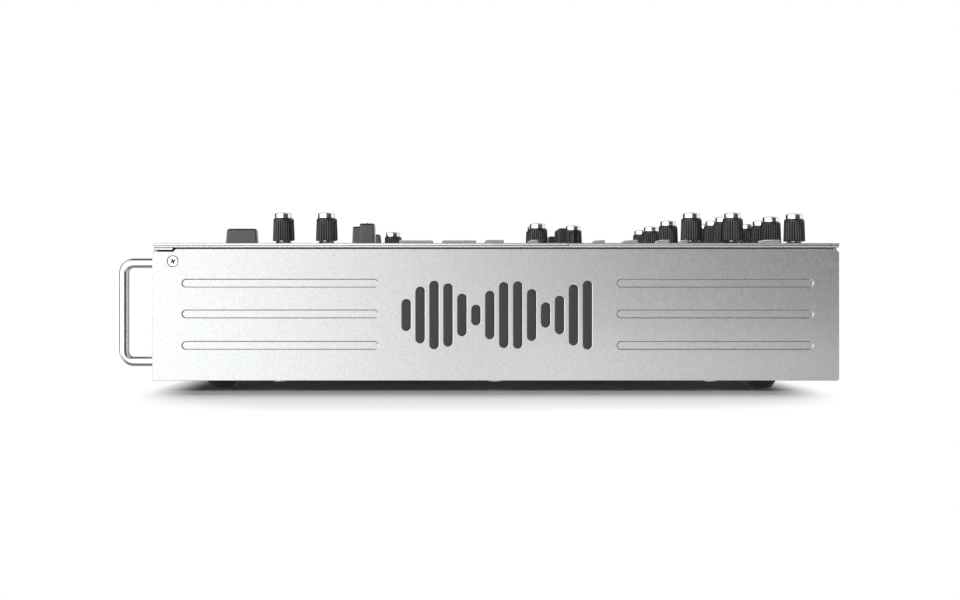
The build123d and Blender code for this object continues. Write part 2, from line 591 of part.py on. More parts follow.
def switch_pin(radius):
    """The upright pin that the rocker tips about, its ends in the frame."""
    x, z = SWITCH_AT
    reach = SWITCH_HOLE[1] / 2 + SWITCH_PIN_REACH
    return post(x, at(BODY_DEPTH - 0.8) - SWITCH_PIVOT_DEPTH, z - reach, z + reach, radius)


def power_switch():
    """The rocker: a wedge that tips about an upright pivot in its frame."""
    rear = at(BODY_DEPTH - 0.8)
    x, z = SWITCH_AT
    half = SWITCH_HOLE[0] / 2 - 0.8
    height = SWITCH_HOLE[1] - 0.8
    outline = Polyline((x - half, rear - 2.0), (x - half + 1, rear + 2.2), (x, rear + 1.0),
                       (x + half - 1, rear + 2.2), (x + half, rear - 2.0), (x, rear - 6.0), close=True)
    face = Plane(origin=(0, 0, z - height / 2)) * make_face(outline)
    return extrude(face, amount=height) + switch_pin(SWITCH_PIN_RADIUS)


def control_bodies():
    """Everything fixed to the control board under the knobs and paddles."""
    bodies = [control_body(x, d) for x, d, _, _ in KNOBS.values()]
    bodies += [paddle_bracket(x, d) for x, d in PADDLE_AT.values()]
    return bodies


def audio_sockets():
    """The rear sockets and the two phones jacks at the front."""
    rear, front = at(BODY_DEPTH - 0.8), at(0.3)
    pieces = [phono_socket(x, z) for x in PHONO_X for z in PHONO_LEVELS]
    pieces += [earth_post(x, z) for x, z in EARTH_POSTS]
    pieces += [xlr_socket(x, z) for x, z in XLR_AT]
    pieces += [jack_socket(x, z, 1, rear, JACK_BORE, JACK_BUSH, JACK_NUT) for x, z in JACK_AT]
    pieces += [usb_socket(x, z) for x, z in USB_AT]
    pieces.append(jack_socket(*PHONES_AT, -1, front, JACK_BORE, JACK_BUSH, JACK_NUT))
    pieces.append(jack_socket(*MINI_PHONES_AT, -1, front, MINI_BORE, MINI_BORE + 1.2, MINI_BORE + 2.4))
    return pieces


# ---- the whole machine, node by node ----
def build_nodes():
    """Every node's name with the list of its solids."""
    half = SEAM_GAP / 2
    nodes = {
        "base_plate": [base_plate()],
        "right_side_panel": [side_panel(1)],
        "left_side_panel": [side_panel(-1)],
        "front_panel": [front_panel()],
        "rear_panel": [rear_panel()],
        "top_chassis": [top_sheet(at(0.5), at(BODY_DEPTH - 0.4), CHASSIS_UNDER, CHASSIS_TOP)],
        "front_faceplate": [top_sheet(at(0.5), at(SEAM_AT - half), CHASSIS_TOP, PLATE_TOP)],
        "rear_faceplate": [top_sheet(at(SEAM_AT + half), at(BODY_DEPTH), CHASSIS_TOP, PLATE_TOP)],
        "carry_handles": [carry_handle(-1), carry_handle(1)],
        "rubber_feet": [rubber_foot(s * FOOT_X, at(d)) for s in (-1, 1) for d in FOOT_AT],
        "case_screws": case_screws() + [foot_screw(s * FOOT_X, at(d)) for s in (-1, 1) for d in FOOT_AT],
        "circuit_boards": circuit_boards(),
        "control_bodies": control_bodies(),
        "fader_modules": [fader_module(x, d, travel, along) for x, d, _, travel, along, _ in FADERS.values()],
        "audio_sockets": audio_sockets(),
        "power_inlet": [power_inlet(), switch_frame()],
        "power_switch": [power_switch()],
    }
    for name, place in KNOBS.items():
        nodes[name] = knob(*place)
    for name, place in FADERS.items():
        nodes[name] = [fader_cap(*place)]
    for name, place in PADDLE_AT.items():
        nodes[name] = [effect_paddle(*place)]
    mode_buttons = []
    side_buttons = []
    for side, deck in ((1, "right"), (-1, "left")):
        for column, x in enumerate(pad_columns(side), start=1):
            for row, d in zip(("front", "rear"), PAD_ROWS):
                nodes[f"{deck}_{row}_pad_{column}"] = [key(x, d, PAD_SIDE, PAD_SIDE, PAD_TOP)]
            mode_buttons.append(key(x, MODE_AT, PAD_SIDE, MODE_DEPTH, PAD_TOP))
        for d, length in SIDE_BUTTONS:
            side_buttons.append(key(side * SIDE_BUTTON_X, d, SIDE_BUTTON_WIDTH, length, SIDE_BUTTON_TOP))
    nodes["mode_buttons"] = mode_buttons
    nodes["side_buttons"] = side_buttons
    return nodes


os.makedirs("parts", exist_ok=True)
for node_name, pieces in build_nodes().items():
    solids = [solid for piece in pieces for solid in piece.solids()]
    shape = solids[0] if len(solids) == 1 else Compound(solids)
    export_step(shape, f"parts/{node_name}.step")
    print(node_name, len(solids), "solids")
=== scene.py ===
# %% [markdown]
# # A table-top DJ mixer
# The solid model is already built and packed. This lesson dresses it: every visible part gets its
# finished surface and its material. Each shape is a formula that numpy works out on a grid of
# points, so that one line of arithmetic makes a whole surface at once.

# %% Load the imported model
import json
import math

import bmesh
import bpy
import numpy as np
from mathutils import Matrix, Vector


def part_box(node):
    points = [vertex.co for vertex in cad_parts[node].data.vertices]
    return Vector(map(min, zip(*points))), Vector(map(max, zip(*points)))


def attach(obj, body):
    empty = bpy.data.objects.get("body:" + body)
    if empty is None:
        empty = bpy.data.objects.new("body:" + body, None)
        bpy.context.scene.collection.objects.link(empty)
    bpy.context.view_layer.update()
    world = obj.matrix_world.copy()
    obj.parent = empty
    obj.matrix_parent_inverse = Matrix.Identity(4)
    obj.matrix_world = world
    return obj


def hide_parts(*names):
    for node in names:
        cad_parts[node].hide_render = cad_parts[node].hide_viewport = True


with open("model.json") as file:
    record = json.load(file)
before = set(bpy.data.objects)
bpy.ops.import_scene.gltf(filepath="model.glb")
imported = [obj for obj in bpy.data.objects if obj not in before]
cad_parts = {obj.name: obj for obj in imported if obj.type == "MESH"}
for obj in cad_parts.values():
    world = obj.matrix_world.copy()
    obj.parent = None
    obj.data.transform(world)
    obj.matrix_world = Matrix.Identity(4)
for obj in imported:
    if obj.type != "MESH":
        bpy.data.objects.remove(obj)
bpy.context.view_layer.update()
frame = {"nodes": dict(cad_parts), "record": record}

# %% [markdown]
# Lengths below are written in millimetres and multiplied by MM, because Blender works in metres.
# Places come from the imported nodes, so a piece sits where the solid model says.

# %% Units and places
MM = 0.001
TURN = 2 * math.pi
ROOT = "root"


def box_of(node):
    """Lowest and highest corner of a node as numpy arrays, in metres."""
    low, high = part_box(node)
    return np.array(low), np.array(high)


JOINT_OF = {joint["child"]: joint for joint in frame["record"]["behaviour"]["joints"]}
PLATE_TOP = box_of("front_faceplate")[1][2]
FRONT_FACE = box_of("front_panel")[0][1]
REAR_FACE = box_of("rear_panel")[1][1]
SIDE_FACE = box_of("right_side_panel")[1][0]
BODY_FRONT = box_of("right_side_panel")[0][1]
print("faceplate height:", round(PLATE_TOP / MM, 2), "mm")

# %% [markdown]
# The sky, the finishes and the floor are all small networks of shader nodes. Two helpers build
# them: an input gets either a fixed value or a link from another node's socket.

# %% Shader nodes


def feed(tree, node, inputs):
    """Gives each named or numbered input of a node its value, or links it to a socket."""
    for place, value in inputs.items():
        if isinstance(value, bpy.types.NodeSocket):
            tree.links.new(value, node.inputs[place])
        else:
            node.inputs[place].default_value = value


def add_node(tree, kind, inputs, **settings):
    """A new shader node of that kind, its settings made before its inputs are fed."""
    node = tree.nodes.new("ShaderNode" + kind)
    for name, value in settings.items():
        setattr(node, name, value)
    feed(tree, node, inputs)
    return node


# %% [markdown]
# ## Camera
# The mixer is seen dead from the player's right, level with the middle of its body. A long lens a
# little under a metre away keeps the far knobs smaller than the near ones. The lens is shifted
# sideways, not turned, so that the side panel stays square to the picture.

# %% Camera
CAMERA_DISTANCE = 828 * MM
CAMERA_FROM_FRONT = 161.0 * MM
CAMERA_HEIGHT = 50.9 * MM

camera_data = bpy.data.cameras.new("camera")
camera_data.lens = 55.5
camera_data.sensor_width = 36.0
camera_data.shift_x = 0.0417
camera = bpy.data.objects.new("camera", camera_data)
camera.location = (SIDE_FACE + CAMERA_DISTANCE, BODY_FRONT + CAMERA_FROM_FRONT, CAMERA_HEIGHT)
camera.rotation_euler = (math.radians(90), 0, math.radians(90))
bpy.context.collection.objects.link(camera)
bpy.context.scene.camera = camera
print("camera", round(CAMERA_DISTANCE, 3), "m from the side panel")

# %% [markdown]
# ## Light
# Bright metal shows its surroundings, so the surroundings are part of the finish. What shiny
# surfaces see is a sky plus a ground, each written as two ramps that are multiplied: one round the
# compass, one from nadir to zenith. A white stretch on one side and a dark one on the other make
# the side panel fade along its length and draw a crisp dark band on every polished cap. A dark
# zenith draws the thin dark line along every upper edge, and an even belt below it keeps flat tops
# bright from every side. Matt surfaces see a plain dim dome instead.

# %% Sky
SKY_STRENGTH = 4.2
SKY_BY_BEARING = ((-180, 0.3), (-160, 0.3), (-150, 0.0), (-112, 0.0), (-104, 0.22), (-72, 0.36),
                  (-52, 0.85), (-34, 0.60), (-9, 0.66), (4, 0.03), (66, 0.01), (73, 0.24), (136, 0.24),
                  (141, 0.0), (150, 0.0), (160, 0.3), (180, 0.3))
SKY_BY_HEIGHT = ((-90, 0.0), (-18, 0.0), (-8, 0.5), (-3, 1.0), (12, 1.0), (34, 0.3), (60, 0.12),
                 (70, 0.07), (90, 0.07))
GROUND_STRENGTH = 2.0
GROUND_BY_BEARING = ((-180, 0.4), (-40, 0.3), (-10, 0.85), (7, 0.95), (22, 0.2), (60, 0.25), (180, 0.4))
GROUND_BY_HEIGHT = ((-90, 0.28), (-48, 0.32), (-30, 1.0), (-10, 1.0), (-3, 0.0), (90, 0.0))
FILL_STRENGTH = 0.55
FILL_BY_HEIGHT = ((-90, 0.0), (20, 0.0), (32, 1.0), (58, 0.8), (68, 0.0), (90, 0.0))
DOME_STRENGTH = 0.25

world = bpy.data.worlds.new("studio")
bpy.context.scene.world = world
world.use_nodes = True
sky = world.node_tree
sky.nodes.clear()


def sky_math(operation, *values):
    """One Math node of the sky, its inputs either numbers or sockets; returns its output."""
    return add_node(sky, "Math", dict(enumerate(values)), operation=operation).outputs[0]


def angle_ramp(angle, half_range, stops):
    """Brightness by angle: stops are (degrees, brightness) over plus and minus half_range."""
    share = sky_math("ADD", sky_math("DIVIDE", angle, 2 * math.radians(half_range)), 0.5)
    ramp = add_node(sky, "ValToRGB", {0: share})
    elements = ramp.color_ramp.elements
    while len(elements) < len(stops):
        elements.new(0.5)
    for element, (degrees, value) in zip(elements, stops):
        element.position = (degrees + half_range) / (2 * half_range)
        element.color = (value, value, value, 1)
    return ramp.outputs["Color"]


direction = add_node(sky, "SeparateXYZ", {0: add_node(sky, "TexCoord", {}).outputs["Generated"]}).outputs
bearing = sky_math("ARCTAN2", direction["Y"], direction["X"])
height = sky_math("ARCSINE", direction["Z"])
strength = sky_math("MULTIPLY", angle_ramp(height, 90, FILL_BY_HEIGHT), FILL_STRENGTH)
for by_bearing, by_height, gain in ((SKY_BY_BEARING, SKY_BY_HEIGHT, SKY_STRENGTH),
                                    (GROUND_BY_BEARING, GROUND_BY_HEIGHT, GROUND_STRENGTH)):
    layer = sky_math("MULTIPLY", angle_ramp(bearing, 180, by_bearing), angle_ramp(height, 90, by_height))
    strength = sky_math("ADD", strength, sky_math("MULTIPLY", layer, gain))
rays = add_node(sky, "LightPath", {}).outputs


def white_light(strength):
    """A white background of that strength."""
    return add_node(sky, "Background", {"Color": (1, 1, 1, 1), "Strength": strength}).outputs[0]


reflections = add_node(sky, "MixShader", {0: rays["Is Glossy Ray"], 1: white_light(DOME_STRENGTH),
                                          2: white_light(strength)}).outputs[0]
backdrop = add_node(sky, "MixShader", {0: rays["Is Camera Ray"], 1: reflections, 2: white_light(1.0)})
add_node(sky, "OutputWorld", {"Surface": backdrop.outputs[0]})

bpy.context.scene.view_settings.view_transform = "Standard"

# %% [markdown]
# One wide lamp hangs behind and above. It whitens the floor, and because it stands behind the
# machine, the soft shadow falls towards the viewer. A low strip at the right lifts the foot of
# the side panel.

# %% Lamps


def soft_lamp(name, place, aim, size, watts, in_reflections=True):
    """An area lamp of that width and height that points from place to aim."""
    data = bpy.data.lights.new(name, "AREA")
    data.shape = "RECTANGLE"
    data.size, data.size_y = size
    data.energy = watts
    lamp = bpy.data.objects.new(name, data)
    lamp.location = place
    gaze = np.array(aim) - np.array(place)
    spin = math.atan2(gaze[1], gaze[0]) - math.pi / 2
    tip = math.atan2(math.hypot(gaze[0], gaze[1]), -gaze[2])
    lamp.rotation_euler = (tip, 0, spin)
    lamp.visible_camera = False
    lamp.visible_glossy = in_reflections
    bpy.context.collection.objects.link(lamp)
    return lamp


soft_lamp("overhead_back", (-1.45, 0.0, 1.45), (-1.45, 0.0, 0.0), (0.9, 2.3), 64, in_reflections=False)
soft_lamp("low_strip", (0.30, 0.15, 0.008), (0.135, 0.15, 0.012), (0.26, 0.012), 0.014)

# %% [markdown]
# ## Surfaces from grids
# A grid of points has rows and columns, like a sheet of squared paper. Joining each point to its
# neighbours gives four-sided faces. Where two edges of the sheet meet, as on a cylinder, their
# points coincide and are merged, which closes the surface.

# %% From grids to a mesh


def grid_faces(rows, columns, first):
    """Corner numbers of the quads between neighbouring points of one grid."""
    number = np.arange(rows * columns).reshape(rows, columns) + first
    corners = (number[:-1, :-1], number[1:, :-1], number[1:, 1:], number[:-1, 1:])
    return np.stack(corners, axis=-1).reshape(-1, 4)


def make_piece(name, grids, materials, body=ROOT, sharp=40.0, replaced=(), picks=None,
               flats=False):
    """One object from point grids: join, merge, turn the faces outwards, shade smooth.

    picks gives each grid's material as a number in the list, or as an array with one per face.
    """
    points = np.concatenate([grid.reshape(-1, 3) for grid in grids])
    faces, material_numbers, first = [], [], 0
    for order, grid in enumerate(grids):
        rows, columns = grid.shape[:2]
        quads = grid_faces(rows, columns, first)
        faces.append(quads)
        material_numbers.append(np.broadcast_to(picks[order] if picks else 0, len(quads)))
        first += rows * columns
    mesh = bpy.data.meshes.new(name)
    mesh.from_pydata(points.tolist(), [], np.concatenate(faces).tolist())
    mesh.polygons.foreach_set("material_index", np.concatenate(material_numbers).astype(np.int32))
    piece = finish_mesh(name, mesh, materials, body, sharp, replaced)
    if flats:
        shade_flats(piece)
    return piece


def shade_flats(piece):
    """Large faces keep their own direction, so that a flat next to a round edge looks flat."""
    even = piece.modifiers.new("even_shading", "WEIGHTED_NORMAL")
    even.weight = 100
    even.keep_sharp = True


def finish_mesh(name, mesh, materials, body, sharp, replaced):
    """Merge doubles, recalculate normals, mark sharp edges, add materials and ride on the body."""
    edit = bmesh.new()
    edit.from_mesh(mesh)
    bmesh.ops.remove_doubles(edit, verts=edit.verts, dist=0.002 * MM)
    bmesh.ops.recalc_face_normals(edit, faces=edit.faces)
    edit.to_mesh(mesh)
    edit.free()
    mesh.shade_smooth()
    mesh.set_sharp_from_angle(angle=math.radians(sharp))
    for material in materials:
        mesh.materials.append(material)
    piece = bpy.data.objects.new(name, mesh)
    bpy.context.collection.objects.link(piece)
    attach(piece, body)
    if replaced:
        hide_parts(*replaced)
    return piece


# %% [markdown]
# Three families of grid make nearly everything here: a profile turned round an axis, a rounded
# rectangle whose size changes as it rises, and a circle carried along a path.

# %% Lathe, rounded block and tube


def circle(count, start=0.0):
    """Angles once round, the last equal to the first."""
    return np.linspace(start, start + TURN, count + 1)


def lathe(profile, centre, count=48, axis="Z", sign=1.0, ripple=None):
    """Profile rows (radius, height) turned round an axis through centre.

    Point = centre + radius (cos a, sin a) + height along the axis. ripple, one number for each
    angle, scales the radius.
    """
    profile = np.asarray(profile, dtype=float) * MM
    angle = circle(count)
    radius = np.repeat(profile[:, :1], count + 1, axis=1)
    if ripple is not None:
        radius = radius * ripple
    across, up = radius * np.cos(angle), radius * np.sin(angle)
    along = np.repeat(profile[:, 1:], count + 1, axis=1) * sign
    order = {"Z": (across, up, along), "Y": (across, along, up), "X": (along, across, up)}[axis]
    return np.stack(order, axis=-1) + np.asarray(centre)


def rounded_outline(width, depth, corner, steps=6):
    """A closed rectangle outline with round corners: four quarter circles joined by their ends."""
    quarter = np.linspace(0, math.pi / 2, steps)
    parts = []
    for turn, (sx, sy) in enumerate(((1, 1), (-1, 1), (-1, -1), (1, -1))):
        angle = quarter + turn * math.pi / 2
        cx, cy = sx * (width / 2 - corner), sy * (depth / 2 - corner)
        parts.append(np.stack([cx + corner * np.cos(angle), cy + corner * np.sin(angle)], axis=-1))
    outline = np.concatenate(parts)
    return np.concatenate([outline, outline[:1]])


def edge_arc(edge, steps=4):
    """Insets and drops of a quarter round: from the wall (0, edge) to the flat (edge, 0)."""
    angle = np.linspace(0, math.pi / 2, steps)
    return np.stack([edge * (1 - np.cos(angle)), edge * (1 - np.sin(angle))], axis=-1)


def rounded_block(centre, low, high, width, depth, corner, edge, taper=1.0, top=None, rings=4, steps=6):
    """A block with round corners and a rounded upper edge, as one closed grid.

    Each row is the outline, drawn in by an inset at some height. From the bottom: the middle
    point, the foot, the wall, the quarter round, then rings across the top to the middle.
    top(x, y) lifts or sinks the upper face. Sizes are in millimetres; low and high are metres.
    """
    rows = [(0.0, 0.0, 0.0), (1.0, 0.0, 0.0)]
    tall = (high - low) / MM
    arc = edge_arc(edge)
    rows += [(1.0, inset, (tall - drop) / tall) for inset, drop in arc]
    rows += [(scale, edge, 1.0) for scale in np.linspace(1, 0, rings + 1)[1:]]
    layers = []
    for scale, inset, part in rows:
        shrink = 1 + (taper - 1) * part
        wide, deep = width * shrink - 2 * inset, depth * shrink - 2 * inset
        radius = max(corner * shrink - inset, 0.02)
        outline = rounded_outline(wide, deep, radius, steps) * scale
        level = np.full(len(outline), tall * part)
        if top is not None and part > 0.5:
            level = level + top(outline[:, 0], outline[:, 1]) * (part - 0.5) * 2
        layers.append(np.column_stack([outline, level]))
    grid = np.array(layers) * MM
    return grid + np.array([centre[0], centre[1], low])


def turned(grid, degrees):
    """The grid turned about the Z axis."""
    a = math.radians(degrees)
    spin = np.array([[math.cos(a), math.sin(a), 0], [-math.sin(a), math.cos(a), 0], [0, 0, 1]])
    return grid @ spin


def tube(path, radius, count=32):
    """A circle carried along a flat path: centre + radius (cos a side + sin a across)."""
    path = np.asarray(path)
    ahead = np.gradient(path, axis=0)
    ahead /= np.linalg.norm(ahead, axis=1)[:, None]
    side = np.array([1.0, 0.0, 0.0])
    across = np.cross(ahead, side)
    angle = circle(count)
    ring = np.cos(angle)[None, :, None] * side + np.sin(angle)[None, :, None] * across[:, None, :]
    return path[:, None, :] + radius * ring


# %% [markdown]
# ## Finishes
# A real surface is never one flat number. Each finish starts from a Principled shader and adds
# noise on Object coordinates: a little change of colour, of roughness, and a bump at the size of
# the real grain. The size is given in millimetres.

# %% One recipe for plain finishes


def finish(name, colour, rough, metal=0.0, grain=0.5, spread=0.08, rough_spread=0.06, bump=0.02,
           stretch=(1, 1, 1), coat=0.0):
    """A Principled material whose colour, roughness and normal follow one noise of that grain."""
    material = bpy.data.materials.new(name)
    material.use_nodes = True
    tree = material.node_tree
    coordinates = add_node(tree, "TexCoord", {}).outputs["Object"]
    place = add_node(tree, "Mapping", {"Scale": stretch, "Vector": coordinates}).outputs[0]
    noise = add_node(tree, "TexNoise", {"Scale": 1 / (grain * MM), "Detail": 3.0, "Vector": place})
    level = noise.outputs["Fac"]
    tint = add_node(tree, "Mix", {"A": [c * (1 - spread) for c in colour] + [1],
                                  "B": [min(c * (1 + spread), 1) for c in colour] + [1],
                                  "Factor": level}, data_type="RGBA")
    matte = add_node(tree, "MapRange", {"To Min": rough - rough_spread, "To Max": rough + rough_spread,
                                        "Value": level})
    relief = add_node(tree, "Bump", {"Strength": 1.0, "Distance": bump * MM, "Height": level})
    feed(tree, tree.nodes["Principled BSDF"],
         {"Metallic": metal, "Coat Weight": coat, "Coat Roughness": 0.1,
          "Base Color": tint.outputs["Result"], "Roughness": matte.outputs["Result"],
          "Normal": relief.outputs["Normal"]})
    return material


def add_flakes(material, size, spread):
    """Metal flake: each small cell of a Voronoi pattern is a little lighter or darker."""
    tree = material.node_tree
    shader = tree.nodes["Principled BSDF"]
    coordinates = add_node(tree, "TexCoord", {}).outputs["Object"]
    cells = add_node(tree, "TexVoronoi", {"Scale": 1 / (size * MM), "Vector": coordinates})
    grey = add_node(tree, "SeparateColor", {0: cells.outputs["Color"]})
    gain = add_node(tree, "MapRange", {"To Min": 1 - spread, "To Max": 1 + spread,
                                       "Value": grey.outputs[0]})
    plain = shader.inputs["Base Color"].links[0].from_socket
    scaled = add_node(tree, "VectorMath", {0: plain, "Scale": gain.outputs["Result"]}, operation="SCALE")
    feed(tree, shader, {"Base Color": scaled.outputs[0]})
    return material


# %% Metals
side_paint = add_flakes(
    finish("side_paint", (0.52, 0.53, 0.535), 0.34, metal=1.0, grain=1.6, spread=0.03, bump=0.001),
    0.42, 0.12)
plate_satin = finish("plate_satin", (0.80, 0.805, 0.815), 0.30, metal=1.0, grain=0.25, spread=0.05,
                     bump=0.004, stretch=(0.04, 1, 1))
sheet_silver = add_flakes(
    finish("sheet_silver", (0.66, 0.67, 0.68), 0.42, metal=0.8, grain=1.2, spread=0.03, bump=0.005), 0.4, 0.1)
powder_black = finish("powder_black", (0.028, 0.028, 0.030), 0.55, grain=0.35, spread=0.2, bump=0.05)
bright_steel = finish("bright_steel", (0.86, 0.86, 0.87), 0.15, metal=1.0, grain=3.0, spread=0.02,
                      rough_spread=0.02, bump=0.001)
black_oxide = finish("black_oxide", (0.09, 0.09, 0.095), 0.30, metal=1.0, grain=0.4, spread=0.1,
                     bump=0.004)
zinc_steel = finish("zinc_steel", (0.78, 0.78, 0.77), 0.22, metal=1.0, grain=0.4, spread=0.06, bump=0.006)
pressed_steel = finish("pressed_steel", (0.55, 0.56, 0.57), 0.35, metal=1.0, grain=2.0, spread=0.06,
                       bump=0.01)
spun_metal = finish("spun_metal", (0.88, 0.885, 0.89), 0.13, metal=1.0, grain=0.6, spread=0.03,
                    rough_spread=0.03, bump=0.002)
contact_gold = finish("contact_gold", (0.83, 0.62, 0.28), 0.18, metal=1.0, grain=0.5, spread=0.04,
                      bump=0.002)
motif_dark = finish("motif_dark", (0.055, 0.056, 0.060), 0.5, metal=0.35, grain=0.4, spread=0.12, bump=0.01)

# %% Plastics and rubbers
knob_plastic = finish("knob_plastic", (0.020, 0.020, 0.022), 0.27, grain=0.35, spread=0.15, bump=0.003)
soft_black = finish("soft_black", (0.010, 0.010, 0.011), 0.5, grain=0.3, spread=0.15, bump=0.004)
fader_plastic = finish("fader_plastic", (0.180, 0.182, 0.188), 0.32, grain=0.3, spread=0.10, bump=0.004)
paddle_plastic = finish("paddle_plastic", (0.035, 0.035, 0.038), 0.38, grain=0.3, spread=0.12, bump=0.010)
foot_rubber = finish("foot_rubber", (0.020, 0.020, 0.020), 0.75, grain=0.5, spread=0.2, bump=0.05)
# The next grey is painted shade: a dark strip in the gap under the top sheets, where only shade falls.
foam_grey = finish("foam_grey", (0.11, 0.11, 0.115), 0.8, grain=0.4, spread=0.15, bump=0.05)
pad_silicone = finish("pad_silicone", (0.84, 0.85, 0.86), 0.48, grain=0.5, spread=0.03, bump=0.012)
button_clear = finish("button_clear", (0.82, 0.83, 0.84), 0.35, grain=0.6, spread=0.03, bump=0.006)
moulded_black = finish("moulded_black", (0.020, 0.020, 0.022), 0.35, grain=0.4, spread=0.15, bump=0.015)
ring_white = finish("ring_white", (0.75, 0.75, 0.73), 0.35, grain=0.6, spread=0.03, bump=0.004)
ring_red = finish("ring_red", (0.55, 0.025, 0.02), 0.35, grain=0.6, spread=0.05, bump=0.004)
# The next dark ink is print. It is also painted shade down in the crosses of the screw heads.
ink_dark = finish("ink_dark", (0.05, 0.05, 0.055), 0.55, grain=0.4, spread=0.1, bump=0.002)
ink_white = finish("ink_white", (0.82, 0.82, 0.82), 0.5, grain=0.4, spread=0.03, bump=0.002)
board_lacquer = finish("board_lacquer", (0.02, 0.12, 0.05), 0.35, grain=1.5, spread=0.25, bump=0.02)
print("materials:", len(bpy.data.materials))

# %% [markdown]
# ## Sheet metal
# Panels and plates have the right shape already. Real sheet has no razor edges, though, and a
# tiny round catches the light along every edge. A copy of the node's mesh is merged, its flat
# faces are joined up, and a Bevel modifier rounds what is left. The bevel mustn't slide its new
# points along edges of the big flat face, because that would draw creases across it.

# %% Rounded copies of the sheets
ROUNDED, CHAMFERED = 3, 1
SHARP = math.radians(35)
RIM_LOW, RIM_HIGH = 15.0, 68.0
RIM_WIDTH = 0.45


def weigh_rims(edit, plain):
    """Bevel weights of a side panel: 1 on the rims of its recesses, plain on all other corners."""
    weights = edit.edges.layers.float.new("bevel_weight_edge")
    for edge in edit.edges:
        if len(edge.link_faces) != 2 or edge.calc_face_angle() < SHARP:
            continue
        middle = (np.array(edge.verts[0].co) + np.array(edge.verts[1].co)) / 2
        on_face = abs(abs(middle[0]) - SIDE_FACE) < 0.05 * MM
        inside = (RIM_LOW * MM < middle[2] < RIM_HIGH * MM
                  and BODY_FRONT + 2 * MM < middle[1] < REAR_FACE - 2 * MM)
        edge[weights] = 1.0 if on_face and inside else plain


def soften(node, material, width, segments, recess_width=0.0):
    """A copy of a node with merged points and a bevel of that width in millimetres.

    With recess_width, the rims of the recesses in a side panel's face get a wider bevel.
    """
    mesh = frame["nodes"][node].data.copy()
    mesh.name = node + "_sheet"
    mesh.materials.clear()
    edit = bmesh.new()
    edit.from_mesh(mesh)
    bmesh.ops.remove_doubles(edit, verts=edit.verts, dist=0.002 * MM)
    bmesh.ops.dissolve_limit(edit, angle_limit=math.radians(0.6), verts=edit.verts, edges=edit.edges)
    if recess_width:
        weigh_rims(edit, width / recess_width)
        width = recess_width
    edit.to_mesh(mesh)
    edit.free()
    mesh.shade_smooth()
    mesh.set_sharp_from_angle(angle=SHARP)
    mesh.materials.append(material)
    piece = bpy.data.objects.new(node + "_sheet", mesh)
    bpy.context.collection.objects.link(piece)
    bevel = piece.modifiers.new("rounded_edges", "BEVEL")
    bevel.width = width * MM
    bevel.segments = segments
    bevel.limit_method = "WEIGHT" if recess_width else "ANGLE"
    bevel.angle_limit = SHARP
    bevel.use_clamp_overlap = False
    bevel.loop_slide = False
    shade_flats(piece)
    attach(piece, ROOT)
    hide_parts(node)
    return piece


for node in ("right_side_panel", "left_side_panel"):
    sheet = soften(node, side_paint, 0.2, ROUNDED, RIM_WIDTH)
    print(sheet.name, len(sheet.data.polygons), "faces before the bevel")
for node, material, width, slot, segments in (
    ("front_faceplate", plate_satin, 0.36, "plate_metal", CHAMFERED),
    ("rear_faceplate", plate_satin, 0.36, "plate_metal", CHAMFERED),
    ("top_chassis", sheet_silver, 0.26, "chassis_metal", CHAMFERED),
    ("front_panel", sheet_silver, 0.2, "chassis_metal", ROUNDED),
    ("rear_panel", sheet_silver, 0.2, "chassis_metal", ROUNDED),
    ("base_plate", powder_black, 0.2, "dark_sheet", ROUNDED),
):
    sheet = soften(node, material, width, segments)
    print(sheet.name, len(sheet.data.polygons), "faces before the bevel")

for node, material in (("circuit_boards", board_lacquer), ("control_bodies", pressed_steel),
                       ("fader_modules", pressed_steel), ("power_switch", moulded_black)):
    data = frame["nodes"][node].data
    data.materials.clear()
    data.materials.append(material)

# %% [markdown]
# ## Bars in the side panels
# The recesses in the middle of each side panel have dark floors. Each floor is a thin inlay with
# a slightly crowned face. The recess's size and place are worked out by the same rule that cut
# it: a row of round-ended bars whose heights follow a sine wave.

# %% Inlays
BARS = 14
BAR_PITCH = 7.8
BAR_WIDTH = 4.8
BAR_TALLEST = 38.0
BAR_SHORTEST = 9.0
BAR_WAVES = 2.6
BAR_MIDDLE = (BODY_FRONT / MM + 192.9, 42.5)
RECESS = 0.8
INLAY = 0.35


def stadium_outline(length, height, count=14):
    """A round-ended outline: two half circles, their centres apart by length minus height."""
    half = np.linspace(-math.pi / 2, math.pi / 2, count)
    reach = (length - height) / 2
    right = np.stack([reach + height / 2 * np.cos(half), height / 2 * np.sin(half)], axis=-1)
    outline = np.concatenate([right, -right])
    return np.concatenate([outline, outline[:1]])


def bar_inlay(side, along, level, length):
    """A crowned round-ended inlay on the recess floor, facing outwards on that side."""
    floor, inset = 0.0, 0.06
    outer = stadium_outline(length - 2 * inset, BAR_WIDTH - 2 * inset)
    rows = [(0.0, floor), (1.0, floor), (1.0, INLAY - 0.12), (0.97, INLAY - 0.03), (0.9, INLAY)]
    rows += [(0.6, INLAY), (0.0, INLAY)]
    layers = [np.column_stack([np.full(len(outer), out), outer[:, 1] * part, outer[:, 0] * part])
              for part, out in rows]
    grid = np.array(layers) * MM
    grid[..., 0] = side * (SIDE_FACE - RECESS * MM + grid[..., 0])
    return grid + np.array([0, along * MM, level * MM])


for side, word in ((1, "right"), (-1, "left")):
    bars = []
    for number in range(BARS):
        swing = abs(math.sin(math.pi * BAR_WAVES * (number + 0.5) / BARS))
        length = BAR_SHORTEST + (BAR_TALLEST - BAR_SHORTEST) * swing
        along = BAR_MIDDLE[0] + BAR_PITCH * (number - (BARS - 1) / 2)
        bars.append(bar_inlay(side, along, BAR_MIDDLE[1], length))
    piece = make_piece(word + "_bar_inlays", bars, [motif_dark], sharp=60)
    print(piece.name, len(piece.data.polygons), "faces")

# %% [markdown]
# ## Carry handles
# Each handle is one round bar bent twice. The path runs out, up and back, with quarter circles
# at the bends, and a circle is carried along it. Turned collars cover the two holes it goes into.

